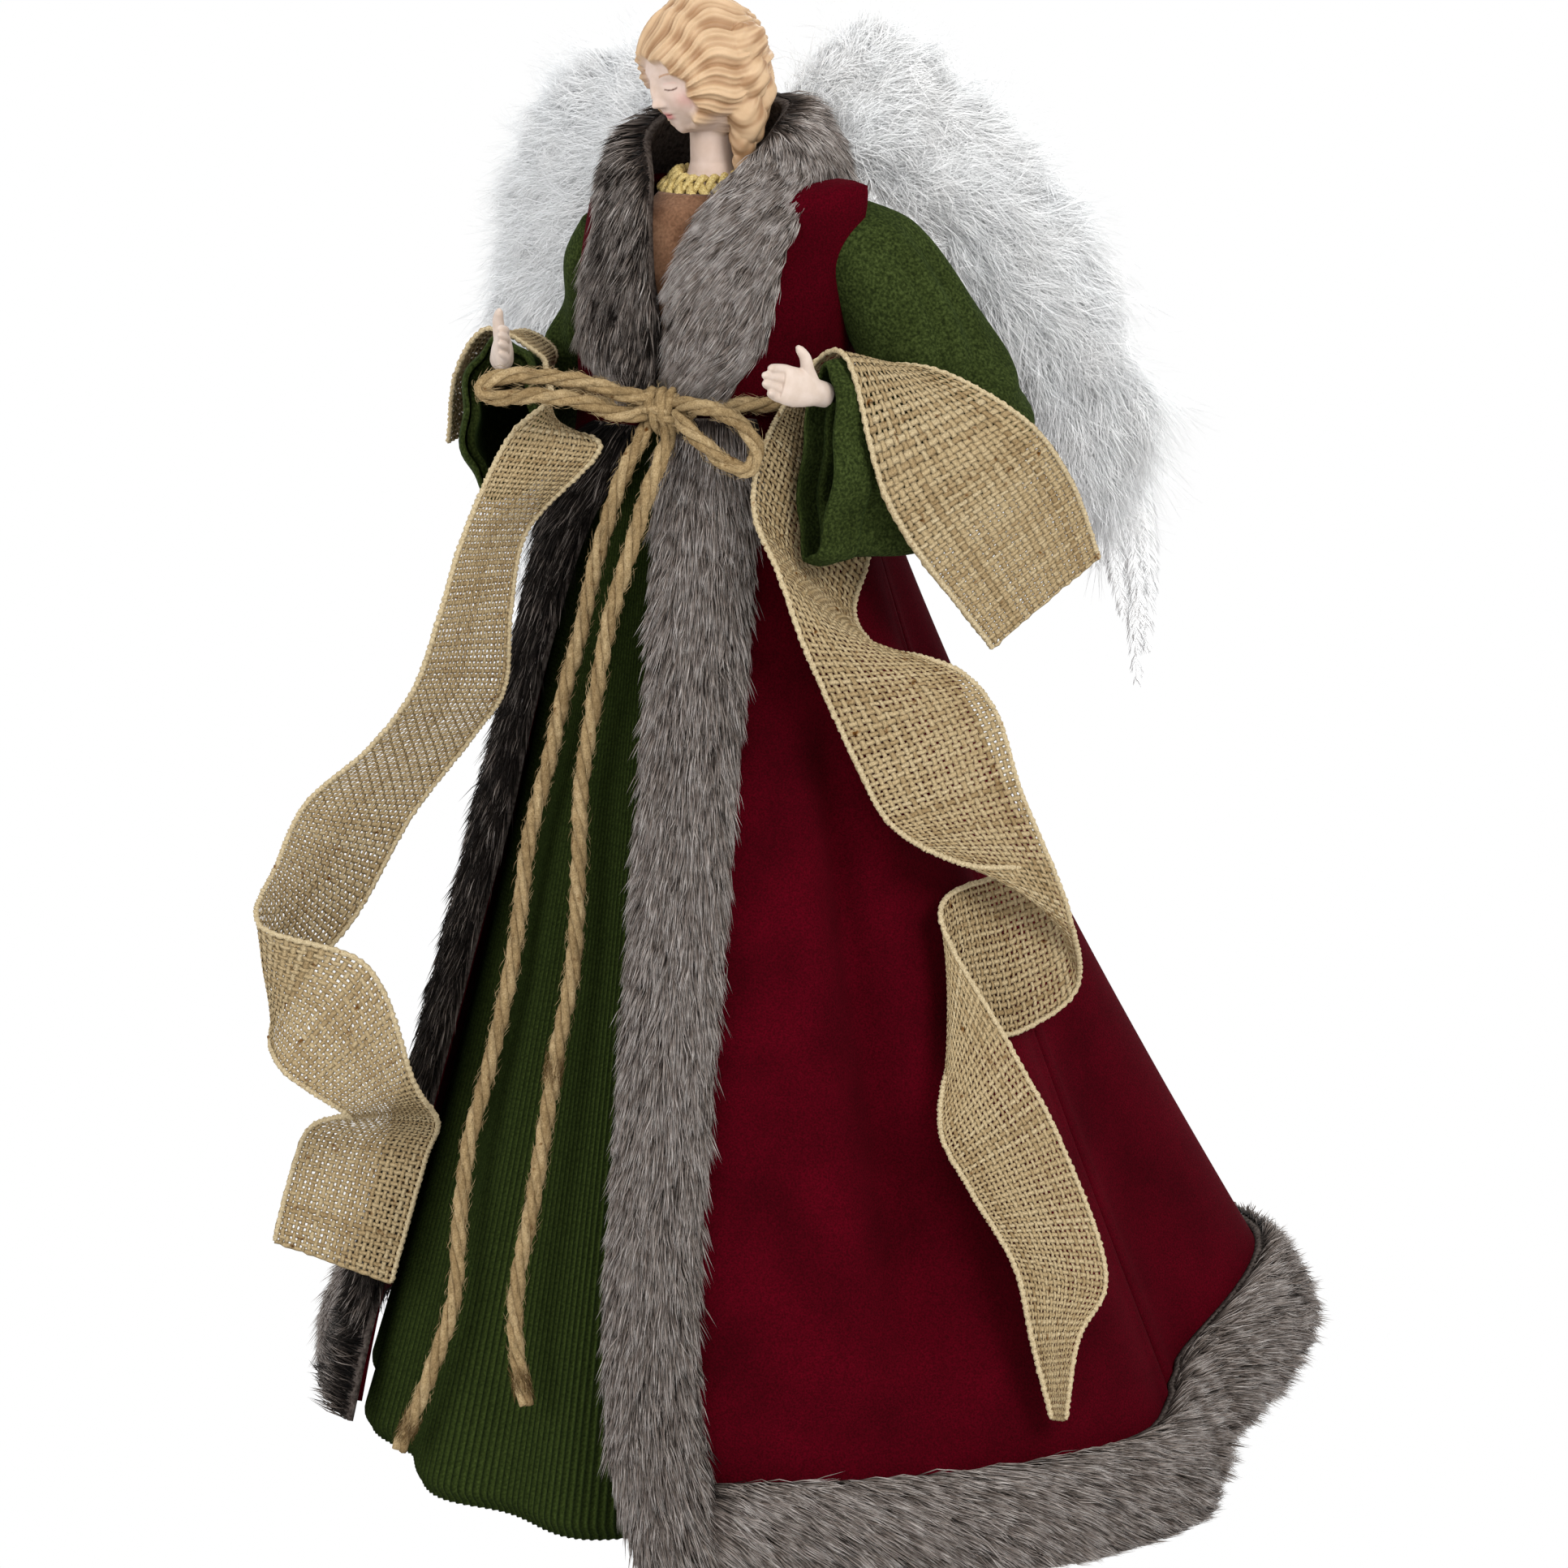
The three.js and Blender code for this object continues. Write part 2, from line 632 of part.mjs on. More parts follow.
piece("fur_collar", cut(furCollar(0), core), FUR);

// Head, moulded hair, neck and shoulder plate in one casting
const FACE_BUMPS = [
  // direction from the head's centre, spread, height
  [[0, -1, -0.14], 0.15, 2.4],
  [[0, -1, 0.06], 0.13, 0.9],
  [[0, -0.92, -0.43], 0.15, 0.7],
  [[0, -0.74, -0.8], 0.26, 1.7],
  [[0.36, -0.93, 0.07], 0.17, -1],
  [[-0.36, -0.93, 0.07], 0.17, -1],
  [[0.3, -0.93, 0.25], 0.2, 0.5],
  [[-0.3, -0.93, 0.25], 0.2, 0.5],
  [[0.52, -0.8, -0.2], 0.3, 0.6],
  [[-0.52, -0.8, -0.2], 0.3, 0.6],
];
const HAIRLINE_HALF_WIDTH = 0.64;
const HAIRLINE_HALF_HEIGHT = 0.6;
const HAIRLINE_DROP = 0.16;
const HAIR_WAVES = 7;
function headPoint(direction) {
  const { x, y, z } = direction;
  let radius = 1 / Math.hypot(x / HEAD_HALF_WIDTH, y / HEAD_HALF_DEPTH, z / HEAD_HALF_HEIGHT);
  const off = Math.hypot(x / HAIRLINE_HALF_WIDTH, (z + HAIRLINE_DROP) / HAIRLINE_HALF_HEIGHT);
  const behind = THREE.MathUtils.smoothstep(y, -0.35, 0.1);
  const below = THREE.MathUtils.smoothstep(-z, 0.5, 0.9) * (1 - behind);
  const hair = Math.max(THREE.MathUtils.smoothstep(off, 0.9, 1.12), behind) * (1 - below);
  const wave = 1 + 0.22 * Math.sin(HAIR_WAVES * (z * 1.4 + Math.abs(x)));
  for (const [[bx, by, bz], spread, height] of FACE_BUMPS) {
    const gap = direction.distanceTo(vec(bx, by, bz).normalize());
    radius += height * Math.exp(-((gap / spread) ** 2)) * (1 - hair);
  }
  return direction.clone().multiplyScalar(radius + HAIR_DEPTH * hair * wave);
}
const HEAD_CENTRE = vec(-1, -4, HEAD_CENTRE_HEIGHT);
function placedHead(geometry) {
  return geometry
    .rotateX(radians(HEAD_NOD))
    .rotateZ(radians(HEAD_YAW))
    .translate(HEAD_CENTRE.x, HEAD_CENTRE.y, HEAD_CENTRE.z);
}
const HEAD_SIDES = 24;
const HEAD_RINGS = 16;
function skull() {
  const rings = [];
  for (let j = 1; j < HEAD_RINGS; j += 1) {
    const tilt = (Math.PI * j) / HEAD_RINGS;
    rings.push(
      Array.from({ length: HEAD_SIDES }, (unused, i) => {
        const angle = (2 * Math.PI * i) / HEAD_SIDES;
        return headPoint(vec(Math.sin(tilt) * Math.sin(angle), -Math.sin(tilt) * Math.cos(angle), Math.cos(tilt)));
      }),
    );
  }
  return placedHead(loft(rings));
}
const lump = (x, y, z, width, depth, height) =>
  new THREE.SphereGeometry(1, 12, 8).rotateX(Math.PI / 2).scale(width, depth, height).translate(x, y, z);
const NAPE_HAIR = [
  // place from the head's centre and half sizes of the gathered curls at the nape
  [0, 8, -8, 13, 9.5, 13],
  [11, 3, -13, 4.5, 5.5, 9],
  [-11, 3, -13, 4.5, 5.5, 9],
];
const bust = turnedProfile(
  [
    [0, BUST_BOTTOM],
    [BUST_RADIUS, BUST_BOTTOM],
    [BUST_RADIUS, BUST_BOTTOM + 1.2],
    [BUST_RADIUS - 5, BUST_BOTTOM + 5],
    [BUST_RADIUS - 10, BUST_BOTTOM + 8.5],
    [NECK_RADIUS, BUST_BOTTOM + 12],
    [NECK_RADIUS, BUST_BOTTOM + 18],
    [0, BUST_BOTTOM + 18],
  ],
  28,
);
const neck = tube([[0, 1, BUST_BOTTOM + 14], [0, 1, BUST_BOTTOM + 22], [-1, 0, HEAD_CENTRE_HEIGHT - 6]], 2 * NECK_RADIUS, 3, 16);
piece(
  "porcelain_head",
  join(skull(), ...NAPE_HAIR.map((row) => placedHead(lump(...row))), neck, bust),
  BISQUE,
);

// Flat braid round the foot of the neck: distance from the axis, height above the shoulder plate's foot
const BRAID_SECTION = [
  [13.9, 6.65],
  [15.2, 7.55],
  [14.9, 8.85],
  [12, 11.65],
  [10.2, 13.85],
  [8.7, 13.25],
  [8.4, 11.85],
  [10.6, 9.45],
  [13.9, 6.65],
];
piece("neck_braid", turnedProfile(BRAID_SECTION.map(([radius, rise]) => [radius, BUST_BOTTOM + rise]), 24), GOLD_BRAID);

// Belt, knot, bow and tails of jute cord
const BELT_RADIUS = WAIST_RADIUS + 2 * CLEARANCE + CORD_DIAMETER / 2;
const KNOT_RADIUS = BELT_RADIUS + KNOT_HALF_DEPTH;
const knotPlace = around(KNOT_RADIUS, KNOT_ANGLE, WAIST_HEIGHT);
const knot = (grow) =>
  lump(0, 0, 0, KNOT_HALF_WIDTH + grow, KNOT_HALF_DEPTH + grow, KNOT_HALF_HEIGHT + grow)
    .rotateZ(radians(KNOT_ANGLE))
    .translate(knotPlace.x, knotPlace.y, knotPlace.z);
const aroundKnot = knot(CLEARANCE);
piece("belt_knot", knot(0), JUTE);
piece(
  "belt_wrap",
  cut(new THREE.TorusGeometry(BELT_RADIUS, CORD_DIAMETER / 2, 8, 32).translate(0, 0, WAIST_HEIGHT), aroundKnot),
  JUTE,
);
const RIGHT_LOOP = [
  [1, -48, 309],
  [-5, -53.5, 311],
  [-14, -61, 315],
  [-25, -69, 317],
  [-32, -74, 317],
  [-36.5, -77, 313.8],
  [-32, -74.5, 310.5],
  [-24, -69.5, 310.5],
  [-13, -61.5, 308.5],
  [-6, -54, 305.2],
  [0, -48, 305.5],
];
const LEFT_LOOP = [
  [7, -47, 308],
  [15, -51.5, 308.5],
  [25, -53.5, 307],
  [31, -53.5, 303],
  [33.5, -53, 297],
  [31.5, -54.5, 292.8],
  [27, -56, 293.8],
  [20, -56, 298.5],
  [13, -53.5, 303.2],
  [9, -48.5, 306.2],
];
const RIGHT_TAIL = [
  [0, -47, 302.5],
  [-2, -52, 296],
  [-5, -54, 289],
  [-9, -54, 278],
  [-14, -54, 262],
  [-18, -54, 245],
  [-23, -53, 230],
  [-28, -54, 208],
  [-33, -57, 186],
  [-35, -61, 163],
  [-36, -66, 147],
  [-41, -72, 118],
  [-44, -77, 101],
  [-44, -84, 80],
  [-43, -91, 60],
  [-48, -96, 40],
  [-57, -99, 16],
];
const LEFT_TAIL = [
  [6.5, -48, 302.5],
  [7, -54, 296],
  [4, -57, 286],
  [-1, -58, 270],
  [-8, -57, 250],
  [-13, -57, 226],
  [-16, -59, 204],
  [-15, -64, 182],
  [-14, -71, 155],
  [-16, -78, 133],
  [-17, -83, 116],
  [-19, -90, 89],
  [-21, -95, 72],
  [-20, -100, 55],
  [-15, -105, 38],
];
const cord = (points, steps) => cut(tube(points.map(settled), CORD_DIAMETER, steps), aroundKnot);
piece("bow_loop_right", cord(RIGHT_LOOP, 14), JUTE);
piece("bow_loop_left", cord(LEFT_LOOP, 11), JUTE);
piece("cord_tail_right", cord(RIGHT_TAIL, 22), JUTE);
piece("cord_tail_left", cord(LEFT_TAIL, 20), JUTE);

// Arms: sleeve sections, each the middle, half width and half height
const ARMS = {
  left: {
    sections: [
      [33, 4, 350, 12, 12],
      [44, 5, 343, 17, 16],
      [60, 6, 320, 19, 18],
      [73, 4, 297, 18, 18],
      [66, -18, 290, 13, 24],
      [51, -40, 294, 9, 28],
    ],
    wrist: [49, -42, 312],
    fingertips: [38, -64, 319],
  },
  right: {
    sections: [
      [-33, 4, 350, 11, 11],
      [-41.5, 5.5, 341, 12, 13],
      [-47, 18, 322, 12, 13],
      [-58, 18, 301, 12, 15],
      [-58.5, -10, 294, 11, 21],
      [-48, -38, 302, 10.5, 24],
    ],
    wrist: [-47, -40, 316.5],
    fingertips: [-37, -60, 325],
  },
};
const SHOULDER_PIVOT_OFFSET = 34;
const SHOULDER_PIVOT_HEIGHT = raised(350);
const SLEEVE_STEPS = 10;
const SLEEVE_SIDES = 16;
const ELBOW_EASE = 0.2; // share of the arm over which its direction is averaged
const SLEEVE_END = 0.6; // the sleeve is hollow from here, counted in sections, to its mouth

// A ring across the sleeve at a place counted in sections, drawn in by an inset, carried on past the mouth
function sleeveRing(sections, place, inset, beyond = 0) {
  const last = sections.length - 1;
  const path = new THREE.CatmullRomCurve3(sections.map(([x, y, z]) => vec(x, y, z)));
  const at = Math.min(place, last);
  const middle = path.getPoint(at / last);
  const travel = path.getPoint(Math.min(1, at / last + ELBOW_EASE));
  travel.sub(path.getPoint(Math.max(0, at / last - ELBOW_EASE))).normalize();
  const size = (column) => along(sections.map((row, i) => [i, row[column]]), at) - inset;
  const side = travel.clone().cross(vec(0, 0, 1)).normalize();
  const up = side.clone().cross(travel).normalize();
  middle.addScaledVector(travel, beyond);
  return Array.from({ length: SLEEVE_SIDES }, (unused, i) => {
    const angle = (2 * Math.PI * i) / SLEEVE_SIDES;
    return middle
      .clone()
      .addScaledVector(side, size(3) * Math.cos(angle))
      .addScaledVector(up, size(4) * Math.sin(angle));
  });
}

// Geometry turned about a shoulder's front-to-back axis
function turnedAboutShoulder(geometry, side, degrees) {
  const x = side * SHOULDER_PIVOT_OFFSET;
  return geometry
    .clone()
    .translate(-x, 0, -SHOULDER_PIVOT_HEIGHT)
    .rotateY(radians(degrees) * side)
    .translate(x, 0, SHOULDER_PIVOT_HEIGHT);
}
const LIFT_TRIALS = [0, ARM_LIFT / 2, ARM_LIFT + 1];
const collarClear = furCollar(2 * CLEARANCE);

const HAND_RINGS = [
  // share of the length, half thickness, half height
  [0, 3.6, 3.6],
  [0.22, 3.4, 4.2],
  [0.42, 3.3, 5.6],
  [0.6, 2.9, 5.6],
  [0.82, 2.2, 4.6],
  [1, 1.3, 2.8],
];
const THUMB_LENGTH = 9;
const THUMB_DIAMETER = 3.6;
function hand({ wrist, fingertips }) {
  const start = vec(...wrist);
  const reach = vec(...fingertips).sub(start).normalize();
  const side = reach.clone().cross(vec(0, 0, 1)).normalize();
  const up = side.clone().cross(reach);
  const rings = HAND_RINGS.map(([share, thick, tall]) =>
    Array.from({ length: 12 }, (unused, i) => {
      const angle = (2 * Math.PI * i) / 12;
      return start
        .clone()
        .addScaledVector(reach, share * HAND_LENGTH)
        .addScaledVector(side, thick * Math.cos(angle))
        .addScaledVector(up, tall * Math.sin(angle));
    }),
  );
  const root = start.clone().addScaledVector(reach, 0.34 * HAND_LENGTH).addScaledVector(up, 1.5);
  const knuckle = root.clone().addScaledVector(up, 0.6 * THUMB_LENGTH).addScaledVector(reach, 0.3 * THUMB_LENGTH);
  const tip = root.clone().addScaledVector(up, THUMB_LENGTH).addScaledVector(reach, 0.8 * THUMB_LENGTH);
  const thumb = tube([root, knuckle, tip].map((p) => p.toArray()), THUMB_DIAMETER, 5);
  return join(loft(rings), thumb);
}

// Burlap ribbons: front and back edge at stations from the end on the forearm to the hanging end
const RIBBONS = {
  left: [
    [[88, -16, 241], [109, 16, 262]],
    [[67, -42, 284], [104, 9, 284]],
    [[55, -41, 325.5], [94, -5, 311]],
    [[46, -35, 326], [66, -14, 328]],
    [[37, -33, 314], [45, -12, 317]],
    [[32, -43, 298], [51.5, -14.5, 266]],
    [[32.5, -53, 282], [52, -27.5, 249.5]],
    [[43, -61, 266], [62, -34, 242]],
    [[49, -61, 250], [73, -34, 241]],
    [[54, -57, 235], [84, -29, 236]],
    [[62, -53, 215], [92, -26, 226]],
    [[72, -52, 198], [99, -24, 204]],
    [[89, -41, 186], [111, -14, 166]],
    [[104, -14, 180], [110, -4, 142]],
    [[90, -16, 176], [100, -20, 134]],
    [[82, -40, 172], [90, -48, 136]],
    [[103, -42, 136], [90, -62, 117]],
    [[117, -40, 110], [99, -66, 104]],
    [[132, -44, 72], [113, -66, 82]],
    [[132, -52, 60], [117, -67, 62]],
    [[132, -60, 38], [125, -67, 40]],
  ],
  right: [
    [[-71, -25, 290], [-73, 6, 291]],
    [[-66, -29, 316], [-69, 2, 314]],
    [[-55, -32, 329], [-59, -2, 324]],
    [[-38, -34, 321], [-46, -7, 319]],
    [[-33, -41, 314], [-42, -21, 308]],
    [[-28, -51, 308], [-31, -40, 299]],
    [[-36, -58, 299], [-13, -51, 296]],
    [[-45, -70, 273], [-37, -48, 270]],
    [[-49, -78, 252], [-39, -54, 250]],
    [[-58, -77, 230], [-43, -51, 226]],
    [[-73, -75, 212], [-53, -50, 212]],
    [[-91, -80, 195], [-71, -54, 188]],
    [[-102, -89, 178], [-85, -62, 160]],
    [[-104, -100, 168], [-104, -90, 136]],
    [[-65, -96, 156], [-90, -101, 126]],
    [[-56, -86, 120], [-75, -90, 110]],
    [[-58, -68, 102], [-84, -76, 104]],
    [[-64, -63, 91], [-97, -72, 97]],
    [[-69, -67, 70], [-103, -75, 79]],
    [[-72, -72, 54], [-106, -78, 64]],
  ],
};
const RIBBON_STEPS = 3; // steps between stations
function ribbon(stations) {
  const edges = [0, 1].map((side) => new THREE.CatmullRomCurve3(stations.map((row) => vec(...settled(row[side])))));
  const count = (stations.length - 1) * RIBBON_STEPS;
  const offset = (distance) => (u, v) => {
    const [front, back] = edges.map((edge) => edge.getPoint(u));
    const travel = edges[0].getTangent(u).add(edges[1].getTangent(u));
    const normal = travel.cross(back.clone().sub(front)).normalize();
    return front.lerp(back, v).addScaledVector(normal, distance);
  };
  return slab(count, 1, offset(RIBBON_THICKNESS / 2), offset(-RIBBON_THICKNESS / 2));
}

for (const [name, side] of [
  ["left", 1],
  ["right", -1],
]) {
  const sections = ARMS[name].sections.map(([x, y, z, width, height]) => [x, y, raised(z), width, height]);
  const [wrist, fingertips] = [ARMS[name].wrist, ARMS[name].fingertips].map(([x, y, z]) => [x, y, raised(z)]);
  const last = sections.length - 1;
  const places = Array.from({ length: SLEEVE_STEPS + 1 }, (unused, i) => (last * i) / SLEEVE_STEPS);
  const outside = loft(places.map((place) => sleeveRing(sections, place, 0)));
  const hollow = places.filter((place) => place > SLEEVE_END);
  const inside = loft([
    sleeveRing(sections, SLEEVE_END, FLEECE),
    ...hollow.map((place) => sleeveRing(sections, place, FLEECE)),
    sleeveRing(sections, last, FLEECE, FLEECE),
  ]);
  const trims = LIFT_TRIALS.flatMap((degrees) => [
    turnedAboutShoulder(core, side, degrees),
    turnedAboutShoulder(collarClear, side, degrees),
  ]);
  piece("sleeve_" + name, cut(outside, inside, ...trims), GREEN_FLEECE);
  const cuffRing = (inset, beyond) => sleeveRing(sections, last, inset, beyond);
  const cuffOutside = loft([cuffRing(-0.8, CLEARANCE), cuffRing(-0.4, CLEARANCE + CUFF_LENGTH)]);
  const cuffInside = loft([cuffRing(FLEECE + 0.6, 0), cuffRing(FLEECE + 0.6, 2 * CUFF_LENGTH)]);
  piece("cuff_" + name, cut(cuffOutside, cuffInside), GREEN_KNIT);
  piece("hand_" + name, hand({ wrist, fingertips }), BISQUE);
  const spine = new THREE.CatmullRomCurve3(sections.map(([x, y, z]) => vec(x, y, z)));
  const root = spine.getPoint(SLEEVE_END / last).addScaledVector(spine.getTangent(SLEEVE_END / last), CLEARANCE);
  const reach = vec(...fingertips).sub(vec(...wrist)).normalize();
  const end = vec(...wrist).addScaledVector(reach, -CLEARANCE);
  const bends = [root, spine.getPoint(2 / last), spine.getPoint(3 / last)];
  const wire = [...bends, end.clone().addScaledVector(reach, -12), end].map((p) => p.toArray());
  piece("arm_wire_" + name, tube(wire, ARM_WIRE_DIAMETER, 14), WIRE);
  piece("ribbon_" + name, ribbon(RIBBONS[name]), BURLAP);
}

// Wings: outline of the downy part as distance out from the pivot and height
const WING_LOWER = [
  [100, 303],
  [100, 295],
  [97, 285],
  [95, 272],
  [90, 262],
  [84, 272],
  [76, 282],
  [68, 293],
  [60, 303],
  [53, 315],
  [46, 327],
  [41, 337],
  [36, 345],
  [28, 352],
  [18, 358],
  [9, 362],
];
const WING_OUTLINES = {
  left: [
    [5, 388],
    [12, 400],
    [21, 405],
    [30, 399],
    [41, 389],
    [52, 382],
    [62, 370],
    [75, 357],
    [83, 345],
    [88, 333],
    [92, 315],
    ...WING_LOWER,
  ],
  right: [
    [5, 386],
    [12, 392],
    [22, 396],
    [34, 397],
    [50, 394],
    [67, 386],
    [80, 373],
    [89, 359],
    [95, 344],
    [97, 331],
    [98, 316],
    ...WING_LOWER,
  ],
};
const BACKING_INSET = 0.86;
const QUILLS = [
  // root distance, root height, tip distance, tip height
  [91, 292, 94, 254],
  [92, 294, 97, 231],
  [94, 294, 101, 211],
  [96, 294, 104, 221],
  [98, 292, 105, 237],
  [88, 292, 88, 246],
];
const QUILL_HALF_WIDTH = 4;
const QUILL_RAIL = 8;

const smoothOutline = (points) =>
  new THREE.Shape(
    new THREE.SplineCurve([...points, points[0]].map(([x, z]) => new THREE.Vector2(x, raised(z))))
      .getPoints(Math.round(points.length * 1.6))
      .slice(0, -1),
  );

// A flat plate of an outline standing in the wing's plane, from one depth to another
function standing(shape, from, to) {
  const geometry = new THREE.ExtrudeGeometry(shape, { depth: to - from, bevelEnabled: false, steps: 1 });
  return geometry.rotateX(Math.PI / 2).translate(0, to, 0);
}

function quillBlade([rootOut, rootHeight, tipOut, tipHeight], from, to) {
  const root = new THREE.Vector2(rootOut, raised(rootHeight));
  const tip = new THREE.Vector2(tipOut, raised(tipHeight));
  const run = tip.clone().sub(root);
  const across = new THREE.Vector2(-run.y, run.x).normalize();
  const at = (share, width) => root.clone().addScaledVector(run, share).addScaledVector(across, width);
  const wide = QUILL_HALF_WIDTH;
  const shape = new THREE.Shape([at(0, -wide), at(0.55, -wide), at(0.85, -wide * 0.6), at(1, 0), at(0.85, wide * 0.6), at(0.55, wide), at(0, wide)]);
  return standing(shape, from, to);
}

const mirrored = (geometry, side) => solidGeometry(solidOf(geometry.clone().scale(side, 1, 1)));

const QUILLS_FROM = WING_FLUFF_BACK + CLEARANCE;
const BACKING_FROM = QUILLS_FROM + QUILL_THICKNESS + CLEARANCE;
const STEM_DEPTH = BACKING_FROM + BACKING_THICKNESS + CLEARANCE + WING_WIRE_DIAMETER / 2;
const FLUFF_STEP = 5; // the down is this much thinner along its edge
const WING_CENTRE = [50, 345];
const drawnIn = (outline) =>
  outline.map(([out, height]) => [
    mix(WING_CENTRE[0], out, BACKING_INSET),
    mix(WING_CENTRE[1], height, BACKING_INSET),
  ]);

for (const [name, side] of [
  ["left", 1],
  ["right", -1],
]) {
  const wing = new THREE.Group();
  wing.position.set(side * WING_ROOT_OFFSET, WING_PIVOT_DEPTH, 0);
  wing.rotation.z = side * radians(WING_SWEEP);
  figure.add(wing);
  wing.updateMatrixWorld(true);
  const intoWing = wing.matrixWorld.clone().invert();
  const trims = [core, collarClear].map((cutter) => cutter.clone().applyMatrix4(intoWing));
  const fluff = join(
    standing(smoothOutline(WING_OUTLINES[name]), FLUFF_STEP - WING_FLUFF_FRONT, WING_FLUFF_BACK),
    standing(smoothOutline(drawnIn(WING_OUTLINES[name])), -WING_FLUFF_FRONT, WING_FLUFF_BACK),
  );
  piece("wing_fluff_" + name, cut(mirrored(fluff, side), ...trims), FEATHER, wing);
  const blades = QUILLS.map((row) => quillBlade(row, QUILLS_FROM, QUILLS_FROM + QUILL_THICKNESS));
  const [first] = QUILLS.at(-1);
  const [lastOut, drawnHeight] = QUILLS.at(-2);
  const rootHeight = raised(drawnHeight);
  const rail = standing(
    new THREE.Shape([
      new THREE.Vector2(first - QUILL_HALF_WIDTH, rootHeight - QUILL_RAIL),
      new THREE.Vector2(lastOut + QUILL_HALF_WIDTH, rootHeight - QUILL_RAIL),
      new THREE.Vector2(lastOut, rootHeight + QUILL_RAIL),
      new THREE.Vector2(first, rootHeight + QUILL_RAIL),
    ]),
    QUILLS_FROM,
    QUILLS_FROM + QUILL_THICKNESS,
  );
  piece("wing_quills_" + name, mirrored(join(rail, ...blades), side), FEATHER, wing);
  const backing = standing(smoothOutline(drawnIn(WING_OUTLINES[name])), BACKING_FROM, BACKING_FROM + BACKING_THICKNESS);
  piece("wing_backing_" + name, cut(mirrored(backing, side), ...trims), CARD, wing);
  const stem = tube(
    [
      [0, 0, SOCKET_BOTTOM + 2],
      [0, 0, SOCKET_TOP],
      [0, 0, raised(362)],
      [4, STEM_DEPTH * 0.6, raised(370)],
      [14, STEM_DEPTH, raised(376)],
      [34, STEM_DEPTH, raised(377)],
      [54, STEM_DEPTH, raised(360)],
    ],
    WING_WIRE_DIAMETER,
    14,
  );
  piece("wing_stem_" + name, mirrored(stem, side), WIRE, wing);
}

// Patch on the back with a sleeve for each wing wire
const SOCKET_BORE = WING_WIRE_DIAMETER / 2 + CLEARANCE;
const PATCH_HALF_WIDTH = WING_ROOT_OFFSET + 7;
const PATCH_THICKNESS = 3;
const PATCH_FRONT = 20;
const PATCH_BACK = WING_PIVOT_DEPTH - SOCKET_BORE;
const patch = new THREE.BoxGeometry(2 * PATCH_HALF_WIDTH, PATCH_BACK - PATCH_FRONT, SOCKET_TOP - SOCKET_BOTTOM);
patch.translate(0, (PATCH_BACK + PATCH_FRONT) / 2, (SOCKET_TOP + SOCKET_BOTTOM) / 2);
const socketTube = (x, radius, grow) =>
  new THREE.CylinderGeometry(radius, radius, SOCKET_TOP - SOCKET_BOTTOM + 2 * grow, 16)
    .rotateX(Math.PI / 2)
    .translate(x, WING_PIVOT_DEPTH, (SOCKET_TOP + SOCKET_BOTTOM) / 2);
const pivots = [-WING_ROOT_OFFSET, WING_ROOT_OFFSET];
const sockets = join(patch, ...pivots.map((x) => socketTube(x, SOCKET_BORE + SOCKET_WALL, 0)));
piece("wing_socket", cut(sockets, core, ...pivots.map((x) => socketTube(x, SOCKET_BORE, 1))), CARD);

export default figure;
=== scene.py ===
# Angel tree topper: its cloth, fur, feathers, cord, burlap and painted bisque on its solid model.
# Sizes are in millimetres and angles in degrees, counted from the front towards the figure's left.
import math

import bpy
import numpy as np
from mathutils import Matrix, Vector, kdtree


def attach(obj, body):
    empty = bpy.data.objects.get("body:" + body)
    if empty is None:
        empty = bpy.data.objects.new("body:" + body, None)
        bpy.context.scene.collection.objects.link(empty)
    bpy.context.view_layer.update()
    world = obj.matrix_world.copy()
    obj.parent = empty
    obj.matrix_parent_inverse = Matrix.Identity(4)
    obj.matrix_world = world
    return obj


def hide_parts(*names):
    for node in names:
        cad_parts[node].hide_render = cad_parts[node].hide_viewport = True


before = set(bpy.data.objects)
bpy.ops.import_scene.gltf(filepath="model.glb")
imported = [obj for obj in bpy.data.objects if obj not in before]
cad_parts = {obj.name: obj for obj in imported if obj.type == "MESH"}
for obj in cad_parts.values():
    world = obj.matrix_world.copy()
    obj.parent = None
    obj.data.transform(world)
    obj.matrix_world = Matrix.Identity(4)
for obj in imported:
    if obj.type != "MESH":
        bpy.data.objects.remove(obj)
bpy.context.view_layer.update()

MM = 0.001
TURN = 360.0
rng = np.random.default_rng(24)

# Sizes shared with the model
WAIST_HEIGHT = 306.0
WAIST_RADIUS = 38.0
SHOULDER_HEIGHT = 358.0
SHOULDER_HALF_WIDTH = 43.0
RIGHT_SHOULDER_HALF_WIDTH = 36.0
SHOULDER_HALF_DEPTH = 24.0
NECK_OPENING_HALF_WIDTH = 22.0
NECK_OPENING_HALF_DEPTH = 17.0
NECK_OPENING_RISE = 6.0
NECK_LEVEL = -0.25
CHEST_SWELL = 2.0
CLEARANCE = 0.35
FELT = 2.0
KNIT = 1.6
FLEECE = 2.2
SUEDE = 1.5
CORD_DIAMETER = 5.0
DRESS_WAIST_RADIUS = WAIST_RADIUS - FELT - CLEARANCE
DRESS_HEM_RADIUS = 106.0
DRESS_HEM_HEIGHT = 1.0
DRESS_FLARE = 1.3
FUR_HEM_WIDTH = 27.0
FUR_SEAT = 0.3
COAT_HEM = [
    # angle, radius and height
    (5, 124, 0), (32, 126, 0), (57, 140, 0), (78, 156, 0), (94, 152, 8), (114, 176, 26), (137, 160, 16),
    (165, 150, 4), (200, 146, 2), (230, 142, 4), (262, 127, 6), (292, 113, 12), (320, 113, 8),
    (345, 119, 0),
]
COAT_FLARE = 0.3
RIGHT_CORNER = 298.0
RIGHT_CORNER_SPREAD = 32.0
RIGHT_CORNER_FLARE = 0.18
